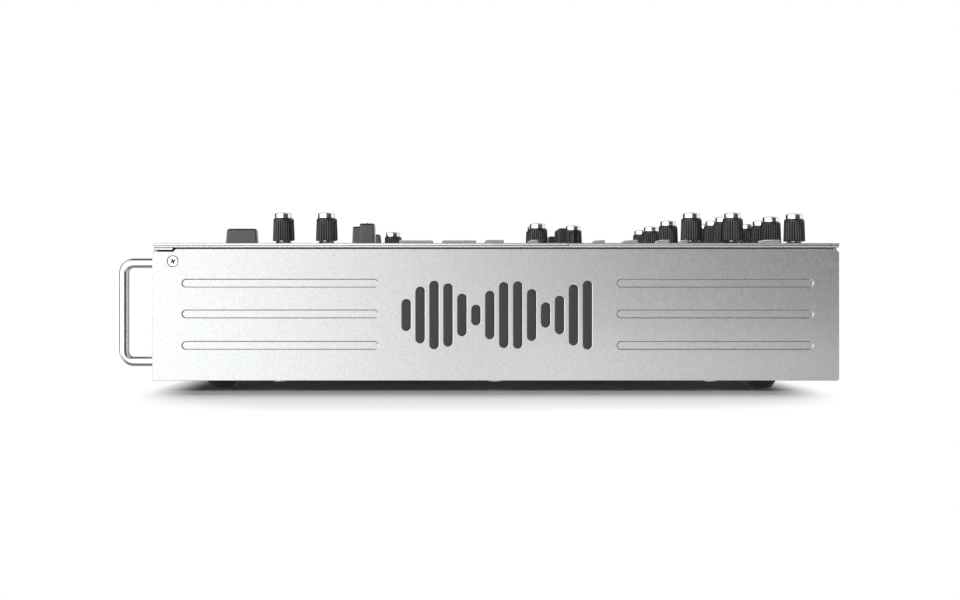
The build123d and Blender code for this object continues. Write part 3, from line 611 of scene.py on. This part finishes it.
# %% Handles
BAR_RADIUS = 2.85
BEND = 5.6
COLLAR_RADIUS = 4.6


def handle_path(x, root, out, low, high, bend):
    """Points of a U in an upright plane: straight, quarter circle, straight, quarter circle, straight."""
    angle = np.linspace(0, math.pi / 2, 13)
    lower = np.stack([out + bend - bend * np.sin(angle), low + bend - bend * np.cos(angle)], axis=-1)
    upper = np.stack([out + bend - bend * np.cos(angle), high - bend + bend * np.sin(angle)], axis=-1)
    flat = np.concatenate([[[root, low]], lower, upper, [[root, high]]])
    return np.column_stack([np.full(len(flat), x), flat])


handle_low, handle_high = box_of("carry_handles")
handle_grids = []
for side in (-1, 1):
    x = side * (handle_high[0] - COLLAR_RADIUS * MM)
    out = handle_low[1] + BAR_RADIUS * MM
    low = handle_low[2] + COLLAR_RADIUS * MM
    high = handle_high[2] - COLLAR_RADIUS * MM
    path = handle_path(x, FRONT_FACE, out, low, high, BEND * MM)
    handle_grids.append(tube(path, BAR_RADIUS * MM))
    for level in (low, high):
        collar = [(0, 0), (COLLAR_RADIUS, 0), (COLLAR_RADIUS, 0.7), (4.2, 1.1), (3.4, 1.2),
                  (2.6, 1.2), (0, 1.2)]
        handle_grids.append(lathe(collar, (x, FRONT_FACE, level), axis="Y", sign=-1))
handles = make_piece("carry_handle_bars", handle_grids, [bright_steel],
                     replaced=["carry_handles"])
print(handles.name, len(handles.data.polygons), "faces")

# %% [markdown]
# ## Feet
# A moulded rubber foot is a turned shape: a short wall under the case, two shallow steps where
# the mould was split, a cone in to the sole, and a recess for the screw. One profile from the
# middle of the recess out and back to the middle gives it all.

# %% Feet
feet_low, feet_high = box_of("rubber_feet")
FOOT_RADIUS = 9.75
FOOT_SCREW_LEVEL = 3.4
FOOT_TALL = (feet_high[2] - feet_low[2]) / MM
foot_profile = [(0, FOOT_SCREW_LEVEL), (4.0, FOOT_SCREW_LEVEL), (4.2, 3.1), (4.2, 0.5), (4.45, 0.08),
                (5.0, 0.0), (6.2, 0.0), (6.75, 0.25), (7.3, 0.95), (7.95, 2.0), (8.15, 2.25), (8.15, 2.45),
                (8.65, 3.1), (9.1, 3.9), (9.25, 4.1), (9.25, 4.3), (9.6, 4.75), (FOOT_RADIUS, 5.1),
                (FOOT_RADIUS, FOOT_TALL), (0, FOOT_TALL)]
feet = []
for x in (feet_low[0] + FOOT_RADIUS * MM, feet_high[0] - FOOT_RADIUS * MM):
    for y in (feet_low[1] + FOOT_RADIUS * MM, feet_high[1] - FOOT_RADIUS * MM):
        feet.append(lathe(foot_profile, (x, y, 0), count=64))
make_piece("moulded_feet", feet, [foot_rubber], replaced=["rubber_feet"])

# %% [markdown]
# ## Screws
# A cross-head screw is a low dome with a cross sunk in it. On a polar grid, the height is the
# dome minus a smooth step that is deep where the point lies within either arm of the cross.

# %% Cross-head screws


def cross_head(radius, thick, dome, arm=0.60, width=0.15, deep=1.0, rings=30, count=96):
    """Local grid of a head: x, y across and z outwards, in millimetres, from the rim's foot up.

    Height = thick + dome (1 - r^2), less deep times a smooth step that is 1 inside either arm.
    """
    reach = np.concatenate([np.linspace(0, 0.95, rings), [0.98, 1.0]])
    angle = circle(count)
    r, a = np.meshgrid(reach, angle, indexing="ij")
    x, y = r * np.cos(a), r * np.sin(a)
    height = thick + dome * (1 - r ** 2) - 0.25 * thick * np.clip((r - 0.9) / 0.1, 0, 1) ** 2
    across, along = np.minimum(np.abs(x), np.abs(y)), np.maximum(np.abs(x), np.abs(y))
    inside = np.clip((width - across) / 0.05 + 0.5, 0, 1) * np.clip((arm - along) / 0.10 + 0.5, 0, 1)
    height = height - deep * inside ** 2 * (3 - 2 * inside)
    top = np.stack([x * radius, y * radius, height], axis=-1)
    foot = top[-1:].copy()
    foot[..., 2] = 0
    middle = foot * 0
    return np.concatenate([top, foot, middle])


def stand_on(local, place, outward):
    """Turns a local grid so that its z points outwards along X, Y or Z, and moves it to place."""
    x, y, z = local[..., 0], local[..., 1], local[..., 2]
    sign = 1 if outward[0] == "+" else -1
    order = {"X": (z * sign, x, y), "Y": (x, z * sign, y), "Z": (x, y, z * sign)}[outward[1]]
    return np.stack(order, axis=-1) * MM + np.asarray(place)


def recess_shade_faces(local, rim):
    """1 for each face of a head that lies in its cross, below the rim's height, and 0 elsewhere.

    The faces marked 1 take a dark material: painted shade down in the cross.
    """
    middle = (local[:-1, :-1] + local[1:, :-1] + local[1:, 1:] + local[:-1, 1:]) / 4
    near = np.hypot(middle[..., 0], middle[..., 1]) < 2.3
    rows = np.arange(len(middle))[:, None] < len(middle) - 2
    return ((middle[..., 2] < rim - 0.12) & near & rows).astype(int).ravel()


HEAD_RADIUS, HEAD_THICK, SUNK_THICK = 2.95, 0.9, 0.5
HEAD_TURN = 28
SIDE_SCREW_ALONG, SIDE_SCREW_LEVEL, SIDE_SCREW_SINK = 11.2, 72.6, 1.3
SCREW_START = FRONT_FACE - 0.3 * MM
PLATE_SCREW_X, PLATE_SCREWS_ALONG, PLATE_SCREW_SINK = 127, (8.0, 224.0, 241.0, 376.0), 0.7
BASE_SCREW_X, BASE_SCREWS_ALONG = 124, (70.0, 192.0, 314.0)
REAR_SCREW_X, REAR_SCREW_LEVELS = 126, (14.0, 70.0)
HEAD = turned(cross_head(HEAD_RADIUS, HEAD_THICK, 0.14, arm=0.5, width=0.12), HEAD_TURN)
COUNTERSUNK = turned(cross_head(HEAD_RADIUS, SUNK_THICK, 0.12, deep=0.9), HEAD_TURN)
base_low = box_of("base_plate")[0][2]
screws, screw_picks = [], []


def add_screw(place, outward, local=HEAD, thick=HEAD_THICK):
    """One screw at that place in metres, and the material number of each of its faces."""
    screws.append(stand_on(local, place, outward))
    screw_picks.append(recess_shade_faces(local, thick))


for side in (-1, 1):
    add_screw((side * (SIDE_FACE - SIDE_SCREW_SINK * MM), FRONT_FACE + SIDE_SCREW_ALONG * MM,
               SIDE_SCREW_LEVEL * MM), "+X" if side > 0 else "-X")
    for along in PLATE_SCREWS_ALONG:
        add_screw((side * PLATE_SCREW_X * MM, SCREW_START + along * MM, PLATE_TOP - PLATE_SCREW_SINK * MM),
                  "+Z", COUNTERSUNK, SUNK_THICK)
    for along in BASE_SCREWS_ALONG:
        add_screw((side * BASE_SCREW_X * MM, SCREW_START + along * MM, base_low), "-Z")
    for level in REAR_SCREW_LEVELS:
        add_screw((side * REAR_SCREW_X * MM, REAR_FACE, level * MM), "+Y")
for grid in feet:
    add_screw((grid[0, 0, 0], grid[0, 0, 1], FOOT_SCREW_LEVEL * MM), "-Z")
# The second material is dark: painted shade down in each cross of the heads.
screw_piece = make_piece("cross_head_screws", screws, [zinc_steel, ink_dark],
                         replaced=["case_screws"], sharp=50, picks=screw_picks)
print(screw_piece.name, len(screws), "screws")

# %% [markdown]
# ## Knobs
# A knob is a fluted black body with a bright turned cap. The flutes are a wave added to the
# radius: radius = body(height) - depth * cup(angle), where cup is 1 in the middle of each flute
# and 0 on the ridge between two. The depth fades to nothing at the shoulder.

# %% Knob surfaces
FLUTES = 30
FLUTE_DEPTH = 0.30
SHOULDER = 0.55
BODY_RADII = (6.15, 5.7)
POINTER_HALF = 0.62
POINTER_PANEL = 0.44
PANEL_SINK = 0.35
CAP_RADIUS = 4.98
CAP_TALL = 3.1


def fluted_body(foot, top, count=240):
    """The body from the underside's middle, round the skirt, up the flutes and over the shoulder.

    Radius = taper(height) - depth * fade(height) * cup(angle). Round the pointer there are no
    flutes, and the radius is smaller by PANEL_SINK, which leaves a smooth sunk panel.
    """
    tall = top - foot
    levels = np.array([0.0, 0.35, 1.0, 3.0, 6.0, 9.0, tall - 2.2, tall - 1.2, tall - SHOULDER,
                       tall - 0.2, tall])
    bulge = np.interp(levels, [0, tall], BODY_RADII)
    bulge[0] -= 0.3
    bulge[1] -= 0.04
    bulge[-2] -= 0.22
    bulge[-1] -= 0.6
    fade = np.interp(levels, [0, 0.4, tall - 2.4, tall - SHOULDER], [0.6, 1.0, 0.9, 0.15])
    angle = circle(count)
    cup = np.abs(np.sin(angle * FLUTES / 2)) ** 0.8
    from_pointer = np.abs((angle - TURN / 4 + math.pi) % TURN - math.pi)
    fluted = np.clip((from_pointer - POINTER_PANEL) / 0.06, 0, 1)
    sunk = np.interp(levels, [tall - 2.2, tall - 1.2], [1, 0])
    radius = bulge[:, None] - FLUTE_DEPTH * fade[:, None] * (cup * fluted)[None, :]
    radius -= PANEL_SINK * sunk[:, None] * (1 - fluted)[None, :]
    x, y = radius * np.cos(angle), radius * np.sin(angle)
    side = np.stack([x, y, np.repeat((foot + levels)[:, None], count + 1, axis=1)], axis=-1)
    under = side[:1] * np.array([0.72, 0.72, 1.0])
    hollow = side[:1] * np.array([0.70, 0.70, 0]) + np.array([0, 0, foot + 1.2])
    bottom = hollow * np.array([0, 0, 1.0])
    over = side[-1:] * np.array([0, 0, 1.0])
    return np.concatenate([bottom, hollow, under, side, over])


def pointer_rib(foot, top):
    """A narrow rib on the side away from the player, with a sloping upper end."""
    tall = top - foot
    levels = np.array([0.25, 0.6, tall * 0.5, tall - 0.9, tall - 0.35])
    reach = np.array([6.3, 6.5, 6.3, 6.05, 5.8])
    across = np.array([-1.0, -0.9, -0.5, 0.5, 0.9, 1.0]) * POINTER_HALF
    drop = np.array([1.2, 0.12, 0.0, 0.0, 0.12, 1.2])
    front = np.stack(np.broadcast_arrays(across[None, :], reach[:, None] - drop[None, :],
                                         (foot + levels)[:, None]), axis=-1)
    back = front.copy()
    back[..., 1] = 4.6
    ends_low, ends_high = np.stack([front[0], back[0]]), np.stack([front[-1], back[-1]])
    left, right = np.stack([front[:, 0], back[:, 0]]), np.stack([front[:, -1], back[:, -1]])
    return [front, back, ends_low, ends_high, left, right]


def bright_cap(low, high):
    """A turned cap: straight wall, rounded edge, and a shallow dish on top."""
    profile = [(0, low), (CAP_RADIUS - 0.15, low), (CAP_RADIUS, low + 0.15), (CAP_RADIUS, high - 0.9)]
    for inset, drop in edge_arc(0.9, 7)[1:]:
        profile.append((CAP_RADIUS - inset, high - drop))
    profile += [(3.7, high - 0.02), (3.3, high - 0.18), (1.6, high - 0.24), (0, high - 0.26)]
    return lathe(profile, (0, 0, 0), count=64)


def pointer_line(high):
    """A thin dark line let into the cap's top, from near the middle to its edge."""
    return rounded_block((0, 3.1 * MM), (high - 0.3) * MM, (high + 0.02) * MM, 0.7, 3.0, 0.3, 0.08, rings=2)


# %% Every knob in its place
KNOB_GAP = 2.2
SHAFT_RADIUS, SHAFT_DEPTH = 3.0, 8.0
KNOB_NODES = [node for node, joint in JOINT_OF.items()
              if joint["type"] == "hinge" and (node.endswith("_knob") or node.endswith("_encoder"))]
nut_grids = []
for node in KNOB_NODES:
    low, high = box_of(node)
    x, y = JOINT_OF[node]["pos_m"][:2]
    turn = -90 if high[0] - x > high[1] - y + 0.2 * MM else 0
    top = (high[2] - PLATE_TOP) / MM
    foot, shoulder = KNOB_GAP, top - CAP_TALL
    black = [grid * MM for grid in [fluted_body(foot, shoulder)] + pointer_rib(foot, shoulder)]
    shaft = [(0, -SHAFT_DEPTH), (SHAFT_RADIUS, -SHAFT_DEPTH), (SHAFT_RADIUS, foot + 1.5), (0, foot + 1.5)]
    bright = [bright_cap(shoulder, top), lathe(shaft, (0, 0, 0), count=32)]
    picks = [0] * len(black) + [1] * len(bright) + [2]
    place = np.array([x, y, PLATE_TOP])
    grids = [turned(grid, turn) + place for grid in black + bright + [pointer_line(top)]]
    make_piece(node + "_turned", grids, [knob_plastic, spun_metal, ink_dark], body=node,
               replaced=[node], picks=picks, sharp=38)
    hexagon = 1 / np.cos((circle(48) + math.pi / 6) % (math.pi / 3) - math.pi / 6)
    nut = [(3.75, 1.95), (3.75, 0.0), (5.1, 0.0), (5.1, 0.25), (4.1, 0.45)]
    nut_grids.append(lathe(nut, place, count=48))
    nut_grids.append(lathe([(3.76, 0.45), (3.85, 0.45), (3.85, 1.75), (3.76, 1.95)], place, ripple=hexagon))
make_piece("knob_nuts", nut_grids, [black_oxide], sharp=30)
print(len(KNOB_NODES), "knobs")

# %% [markdown]
# ## Fader caps
# A fader cap tapers upwards, with soft corners. Its body is dark grey, and a softer black covers
# its top and the rim. The top is scooped on both sides of a centre ridge, so that a fingertip
# can push either way, and a white line marks the middle.

# %% Fader caps
FADER_GAP = 1.0
WALL_ROWS = 2


def fader_cap_grids(along_x, long_side, short_side, tall):
    """Cap, centre line and stem in local millimetres; the short side lies along the travel."""
    size = (short_side, long_side) if along_x else (long_side, short_side)

    def scoop(x, y):
        travel = x if along_x else y
        part = np.abs(travel) / (short_side / 2)
        return 0.12 * np.exp(-(part / 0.16) ** 2) - 0.9 * np.clip(part, 0, 1) * (1.0 - part) * 1.6

    cap = rounded_block((0, 0), FADER_GAP * MM, tall * MM, *size, 1.5, 1.1, taper=0.9, top=scoop, rings=12)
    line_size = (0.8, long_side * 0.9 - 1.9) if along_x else (long_side * 0.9 - 1.9, 0.8)
    line = rounded_block((0, 0), (tall - 0.5) * MM, (tall + 0.16) * MM, *line_size, 0.3, 0.12, rings=2)
    stem_size = (4.0, 1.2) if along_x else (1.2, 4.0)
    stem = rounded_block((0, 0), -7.3 * MM, (FADER_GAP + 0.4) * MM, *stem_size, 0.3, 0.1, rings=2)
    return [cap, line, stem]


FADER_NODES = [node for node in JOINT_OF if node.endswith("fader_cap") or node == "crossfader_cap"]
for node in FADER_NODES:
    low, high = box_of(node)
    middle = (low + high) / 2
    along_x = JOINT_OF[node]["axis"][0] == 1
    long_side = max(high[0] - low[0], high[1] - low[1]) / MM
    short_side = min(high[0] - low[0], high[1] - low[1]) / MM
    grids = fader_cap_grids(along_x, long_side, short_side, (high[2] - PLATE_TOP) / MM - 0.4)
    place = np.array([middle[0], middle[1], PLATE_TOP])
    face_rows, face_columns = grids[0].shape[0] - 1, grids[0].shape[1] - 1
    rim_and_top = np.repeat(np.where(np.arange(face_rows) >= WALL_ROWS, 3, 0), face_columns)
    make_piece(node + "_moulded", [grid + place for grid in grids],
               [fader_plastic, ink_white, pressed_steel, soft_black], body=node,
               replaced=[node], picks=[rim_and_top, 1, 2], sharp=45, flats=True)
print(len(FADER_NODES), "fader caps")

# %% [markdown]
# ## Effect paddles
# A paddle is a wide thin blade on a hinge. Its outline in the side view is a rectangle with
# rounded corners and a cut-off upper front edge, carried across its width; the two ends draw in
# a little, which rounds their rims.

# %% Paddles


def rounded_polygon(corners, radius, steps=5):
    """Corners replaced by arcs of the given radius, as a closed outline."""
    corners = np.asarray(corners, dtype=float)
    before, after = np.roll(corners, 1, axis=0), np.roll(corners, -1, axis=0)
    to_before = (before - corners) / np.linalg.norm(before - corners, axis=1)[:, None]
    to_after = (after - corners) / np.linalg.norm(after - corners, axis=1)[:, None]
    half = np.arccos(np.clip((to_before * to_after).sum(axis=1), -1, 1)) / 2
    run = radius / np.tan(half)
    start, end = corners + to_before * run[:, None], corners + to_after * run[:, None]
    share = np.linspace(0, 1, steps)[None, :, None]
    curve = ((1 - share) ** 2 * start[:, None] + 2 * share * (1 - share) * corners[:, None]
             + share ** 2 * end[:, None])
    outline = curve.reshape(-1, 2)
    return np.concatenate([outline, outline[:1]])


def plank(outline, width, edge):
    """An outline in Y and Z carried along X; the first and last rows draw in towards its middle."""
    middle = (outline.min(axis=0) + outline.max(axis=0)) / 2
    reach = (outline.max(axis=0) - outline.min(axis=0)) / 2
    rows = [(0.0, -width / 2)]
    for inset, drop in edge_arc(edge)[::-1]:
        rows.append((inset, -width / 2 + drop))
    for inset, drop in edge_arc(edge):
        rows.append((inset, width / 2 - drop))
    rows.append((0.0, width / 2))
    layers = []
    for order, (inset, x) in enumerate(rows):
        scale = (reach - inset) / reach if 0 < order < len(rows) - 1 else np.zeros(2)
        flat = middle + (outline - middle) * scale
        layers.append(np.column_stack([np.full(len(flat), x), flat]))
    return np.array(layers)


BLADE_FRONT = 3.3
BLADE_DEPTH = 4.9
PADDLE_NODES = [node for node in JOINT_OF if node.endswith("_paddle")]
for node in PADDLE_NODES:
    low, high = box_of(node)
    x, y, pivot = JOINT_OF[node]["pos_m"]
    top = (high[2] - PLATE_TOP) / MM
    front, back = -BLADE_FRONT, BLADE_DEPTH - BLADE_FRONT
    outline = rounded_polygon([(front, 1.5), (back, 1.5), (back, top), (front + 0.9, top),
                               (front, top - 0.9)], 0.35)
    blade = plank(outline, (high[0] - low[0]) / MM, 0.6)
    neck = rounded_block((0, 0), pivot - PLATE_TOP, 2.0 * MM, 12.0, 2.6, 0.4, 0.1, rings=2) / MM
    pin_profile = [(0, -8.5), (1, -8.5), (1, -6), (2, -6), (2, 6), (1, 6), (1, 8.5), (0, 8.5)]
    pin = lathe(pin_profile, (0, 0, 0), count=24, axis="X") / MM + np.array([0, 0, (pivot - PLATE_TOP) / MM])
    place = np.array([x, y, PLATE_TOP])
    make_piece(node + "_moulded", [grid * MM + place for grid in (blade, neck, pin)],
               [paddle_plastic, pressed_steel], body=node, replaced=[node],
               picks=[0, 0, 1], sharp=45, flats=True)
print(len(PADDLE_NODES), "paddles")

# %% [markdown]
# ## Pads and buttons
# Pads are cast silicone: soft corners, a round upper edge and a face that is very slightly
# crowned. The buttons at the sides slope down at the front edge.

# %% Pads


def crown(width, depth, rise):
    """A low dome over the rectangle: rise times the two parabolas that vanish at its edges."""
    return lambda x, y: rise * (1 - (2 * x / width) ** 2) * (1 - (2 * y / depth) ** 2)


for node in [name for name in JOINT_OF if "_pad_" in name]:
    low, high = box_of(node)
    middle = (low + high) / 2
    wide, deep = (high - low)[:2] / MM
    grid = rounded_block(middle[:2], low[2], high[2] - 0.25 * MM, wide, deep, 1.6, 0.7,
                         top=crown(wide, deep, 0.25), rings=6)
    make_piece(node + "_cast", [grid], [pad_silicone], body=node, replaced=[node],
               flats=True)

# %% Buttons


def node_islands(node):
    """Boxes of a node's separate solids, found by sorting its corners into joined groups."""
    edit = bmesh.new()
    edit.from_mesh(frame["nodes"][node].data)
    bmesh.ops.remove_doubles(edit, verts=edit.verts, dist=0.002 * MM)
    boxes, seen_points = [], set()
    for vertex in edit.verts:
        if vertex in seen_points:
            continue
        group, waiting = [], [vertex]
        seen_points.add(vertex)
        while waiting:
            point = waiting.pop()
            group.append(point.co[:])
            for link in point.link_edges:
                other = link.other_vert(point)
                if other not in seen_points:
                    seen_points.add(other)
                    waiting.append(other)
        boxes.append((np.min(group, axis=0), np.max(group, axis=0)))
    edit.free()
    return boxes


def slanted(grid, low, high, drop, run):
    """Lowers the front of a key's upper part: up to drop at the front edge, none after run."""
    part = np.clip((grid[..., 2] - low[2]) / (high[2] - low[2]), 0, 1) ** 6
    near = np.clip(1 - (grid[..., 1] - low[1]) / run, 0, 1)
    grid[..., 2] -= drop * part * near
    return grid


mode_keys = []
for low, high in node_islands("mode_buttons"):
    middle, (wide, deep) = (low + high) / 2, (high - low)[:2] / MM
    mode_keys.append(rounded_block(middle[:2], low[2], high[2], wide, deep, 1.2, 0.5, rings=2))
make_piece("mode_button_keys", mode_keys, [button_clear], body="mode_buttons",
           replaced=["mode_buttons"], flats=True)
side_keys = []
for low, high in node_islands("side_buttons"):
    middle, (wide, deep) = (low + high) / 2, (high - low)[:2] / MM
    key = rounded_block(middle[:2], low[2], high[2], wide, deep, 0.9, 0.4, rings=3)
    side_keys.append(slanted(key, low, high, 0.6 * MM, min(2.2, deep * 0.4) * MM))
make_piece("side_button_keys", side_keys, [button_clear], body="side_buttons",
           replaced=["side_buttons"], flats=True)
print(len(mode_keys), "mode buttons,", len(side_keys), "side buttons")

# %% [markdown]
# ## Dark strips, scales and meters on the top
# A thin dark strip runs along the narrow gap between each side panel and the top sheets: painted
# shade, which draws the gap as one dark line. On the plates, printed ticks go round every knob and
# along every fader, and two ladders of small lenses stand between the channel strips. Print is a
# film a few hundredths of a millimetre thick, so each tick is a very flat block.

# %% Dark strips under the top sheets: painted shade in the gaps
GAP_SHADE_LOW, GAP_SHADE_HIGH = 78.6 * MM, 80.2 * MM
GAP_SHADE_INSET, GAP_SHADE_WIDTH = 1.3, 1.0
GAP_SHADE_START, GAP_SHADE_END_GAP = 14.0, 2.0
gap_shades = []
for side in (-1, 1):
    length = (box_of("rear_panel")[0][1] - BODY_FRONT) / MM - GAP_SHADE_START - GAP_SHADE_END_GAP
    middle = (side * (SIDE_FACE - (GAP_SHADE_INSET + GAP_SHADE_WIDTH / 2) * MM),
              BODY_FRONT + (GAP_SHADE_START + length / 2) * MM)
    gap_shades.append(rounded_block(middle, GAP_SHADE_LOW, GAP_SHADE_HIGH, GAP_SHADE_WIDTH, length, 0.3, 0.1, rings=2))
make_piece("foam_seals", gap_shades, [foam_grey])

# %% Printed ticks round the knobs
PRINT_THICK = 0.04
TICKS = 11
SWEEP = 150
TICK_NEAR, TICK_FAR, TICK_EXTRA = 8.0, 9.4, 0.6


def print_block(x, y, length, width, turn=0.0):
    """A flat mark on the faceplate, length along X before it is turned; x, y in metres."""
    block = rounded_block((0, 0), 0, PRINT_THICK * MM, length, width, 0.12, 0.01, rings=1, steps=3)
    return turned(block, -turn) + np.array([x, y, PLATE_TOP])


marks = []
for node in KNOB_NODES:
    x, y = JOINT_OF[node]["pos_m"][:2]
    endless = node.endswith("_encoder")
    for number in range(0 if endless else TICKS):
        angle = 90 + SWEEP - 2 * SWEEP * number / (TICKS - 1)
        major = number in (0, (TICKS - 1) // 2, TICKS - 1)
        far = TICK_FAR + (TICK_EXTRA if major else 0)
        reach = (TICK_NEAR + far) / 2 * MM
        place = (x + reach * math.cos(math.radians(angle)), y + reach * math.sin(math.radians(angle)))
        marks.append(print_block(*place, far - TICK_NEAR, 0.45 if major else 0.3, angle))
print(len(marks), "ticks round the knobs")

# %% Printed scales beside the faders
SCALE_STEPS = 11
SCALE_AWAY = 13.5 * MM
for node in FADER_NODES:
    joint = JOINT_OF[node]
    low, high = box_of(node)
    along_x = joint["axis"][0] == 1
    start, end = joint["range_m"]
    travel = np.linspace(start, end, SCALE_STEPS)
    middle = (low + high) / 2
    for number, shift in enumerate(travel):
        major = number in (0, SCALE_STEPS // 2, SCALE_STEPS - 1)
        length = 3.2 if major else 2.0
        for side in (-SCALE_AWAY, SCALE_AWAY):
            if along_x:
                marks.append(print_block(middle[0] + shift, middle[1] + side, length, 0.35, 90))
            else:
                marks.append(print_block(middle[0] + side, middle[1] + shift, length, 0.35))
make_piece("printed_scales", marks, [ink_dark])
print(len(marks), "printed marks in all")

# %% Level meters between the channel strips
METER_SEGMENTS = 12
METER_PITCH = 6.0
METER_X = 4.2
METER_START = 300.0
LENS_COLOURS = {"lens_green": (0.10, 0.30, 0.13), "lens_amber": (0.48, 0.27, 0.05),
                "lens_red": (0.42, 0.04, 0.03)}
lens_finishes = [finish(name, colour, 0.2, grain=2.0, spread=0.05, bump=0.002, coat=0.5)
                 for name, colour in LENS_COLOURS.items()]
lenses, tints = [], []
for side in (-1, 1):
    for number in range(METER_SEGMENTS):
        place = (side * METER_X * MM, BODY_FRONT + (METER_START + METER_PITCH * number) * MM)
        lenses.append(rounded_block(place, PLATE_TOP, PLATE_TOP + 0.45 * MM, 5.2, 3.0, 0.5, 0.2, rings=2))
        tints.append(2 if number >= METER_SEGMENTS - 2 else 1 if number >= METER_SEGMENTS - 5 else 0)
make_piece("level_meter_lenses", lenses, lens_finishes, picks=tints)
print(len(lenses), "meter lenses")

# %% [markdown]
# ## Sockets
# The sockets' shapes come from the solid model. A merged copy gets two finishes: bright plated
# metal on everything outside the panels, black plastic on everything inside. What is too fine
# for the solid model is added here: coloured rings, contacts, pins and tongues.

# %% Socket bodies in two finishes


def two_finishes(node, outside, inside, is_outside):
    """A merged copy of a node whose faces take one of two materials by where their middle lies."""
    mesh = frame["nodes"][node].data.copy()
    mesh.name = node + "_dressed"
    mesh.materials.clear()
    piece = finish_mesh(node + "_dressed", mesh, [inside, outside], ROOT, 35, [node])
    centres = np.empty(len(mesh.polygons) * 3)
    mesh.polygons.foreach_get("center", centres)
    centres = centres.reshape(-1, 3)
    mesh.polygons.foreach_set("material_index", is_outside(centres).astype(np.int32))
    return piece


def beyond_panels(centres):
    """True where a face lies behind the rear panel or in front of the front panel."""
    return (centres[:, 1] > REAR_FACE - 0.02 * MM) | (centres[:, 1] < FRONT_FACE + 0.02 * MM)


two_finishes("audio_sockets", zinc_steel, moulded_black, beyond_panels)
two_finishes("power_inlet", moulded_black, moulded_black, beyond_panels)

# %% Phono rings, contacts, pins and tongues
PHONO_PLACES = [(x, z) for x in (-40.0, -18.0, 4.0, 26.0, 48.0) for z in (30.0, 52.0)]
PHONO_END = box_of("audio_sockets")[1][1]
rings, ring_picks, contacts = [], [], []
for x, z in PHONO_PLACES:
    colour = 1 if z < 40 else 0
    washer = [(4.2, 1.35), (4.2, 1.75), (5.9, 1.75), (6.25, 1.45), (6.25, 0.02), (4.2, 0.02), (4.2, 1.35)]
    rings.append(lathe(washer, (x * MM, REAR_FACE, z * MM), axis="Y", count=40))
    insulator = [(1.62, -5), (1.62, 0.05), (3.35, 0.05), (3.35, -0.4), (1.62, -0.4)]
    rings.append(lathe(insulator, (x * MM, PHONO_END, z * MM), axis="Y", count=40))
    ring_picks += [colour, colour]
    contact = [(1.15, -0.5), (1.15, -0.05), (1.55, -0.02), (1.58, -0.5), (1.58, -6), (1.15, -6),
               (1.15, -0.5)]
    contacts.append(lathe(contact, (x * MM, PHONO_END, z * MM), axis="Y", count=24))
make_piece("phono_rings", rings, [ring_white, ring_red], picks=ring_picks)
OUTPUT_PLACES, PIN_ANGLES, PIN_CIRCLE = ((76.0, 32.0), (108.0, 32.0)), (45, 135, 270), 4.3
for x, z in OUTPUT_PLACES:
    for angle in PIN_ANGLES:
        pin_x = x + PIN_CIRCLE * math.cos(math.radians(angle))
        pin_z = z + PIN_CIRCLE * math.sin(math.radians(angle))
        pin = [(0, -13), (1.2, -13), (1.2, -2.6), (1.0, -1.9), (0.5, -1.6), (0, -1.55)]
        contacts.append(lathe(pin, (pin_x * MM, REAR_FACE, pin_z * MM), axis="Y", count=20))
make_piece("socket_contacts", contacts, [contact_gold])
tongues = []


def add_tongue(x, z, deep, length, width, height, rounding):
    """A flat block inside a socket: its root lies deep behind the rear face, and it points outwards."""
    block = rounded_block((0, 0), 0, length * MM, width, height, 0.3, rounding, rings=2)
    root = np.array([x * MM, REAR_FACE - deep * MM, z * MM])
    tongues.append(block[..., [0, 2, 1]] * np.array([1, 1, -1]) + root)


DATA_PLACES = ((-64.0, 30.0), (-64.0, 52.0))
MAINS_PLACES = ((-107.0, 30.0), (-93.0, 30.0), (-100.0, 34.0))
for x, z in DATA_PLACES:
    add_tongue(x, z, deep=11.5, length=9, width=5.4, height=3.0, rounding=0.15)
for x, z in MAINS_PLACES:
    add_tongue(x, z, deep=16.0, length=14, width=2.0, height=4.0, rounding=0.25)
make_piece("socket_tongues", tongues, [ring_white, zinc_steel], picks=[0, 0, 1, 1, 1])

# %% [markdown]
# ## Floor
# A plain white floor takes the shadow. Away from the machine it glows by itself: painted light,
# which runs it into the white backdrop with no horizon and cuts the soft shadow short all round the
# machine. The glow starts at a rounded rectangle: where (x/a)^4 + (y/b)^4 reaches a limit.

# %% Floor
FLOOR_REACH = 30.0
GLOW_HALF_WIDTH = 0.27
GLOW_HALF_LENGTH = 0.172
GLOW_START = 0.94
GLOW_END = 1.13
floor_white = finish("floor_white", (0.92, 0.92, 0.92), 0.9, grain=40, spread=0.004, rough_spread=0.02,
                     bump=0.0)
floor_tree = floor_white.node_tree
# Painted light: the floor's own glow, rising from the rounded rectangle outwards.
spot = add_node(floor_tree, "TexCoord", {}).outputs["Object"]
glow_size = (1 / GLOW_HALF_WIDTH, 1 / GLOW_HALF_LENGTH, 0)
scaled = add_node(floor_tree, "VectorMath", {0: spot, 1: glow_size}, operation="MULTIPLY").outputs[0]
squared = add_node(floor_tree, "VectorMath", {0: scaled, 1: scaled}, operation="MULTIPLY").outputs[0]
measure = add_node(floor_tree, "VectorMath", {0: squared}, operation="LENGTH").outputs["Value"]
glow = add_node(floor_tree, "MapRange", {"From Min": GLOW_START ** 2, "From Max": GLOW_END ** 2,
                                         "Value": measure}, interpolation_type="SMOOTHSTEP")
lit = add_node(floor_tree, "MixShader", {0: glow.outputs["Result"],
                                         1: floor_tree.nodes["Principled BSDF"].outputs[0],
                                         2: add_node(floor_tree, "Emission", {}).outputs[0]})
feed(floor_tree, floor_tree.nodes["Material Output"], {"Surface": lit.outputs[0]})
corners = [(x * FLOOR_REACH, y * FLOOR_REACH, 0) for x, y in ((-1, -1), (1, -1), (1, 1), (-1, 1))]
floor_mesh = bpy.data.meshes.new("floor")
floor_mesh.from_pydata(corners, [], [(0, 1, 2, 3)])
floor_mesh.materials.append(floor_white)
floor = bpy.data.objects.new("floor", floor_mesh)
floor.visible_glossy = False
bpy.context.collection.objects.link(floor)
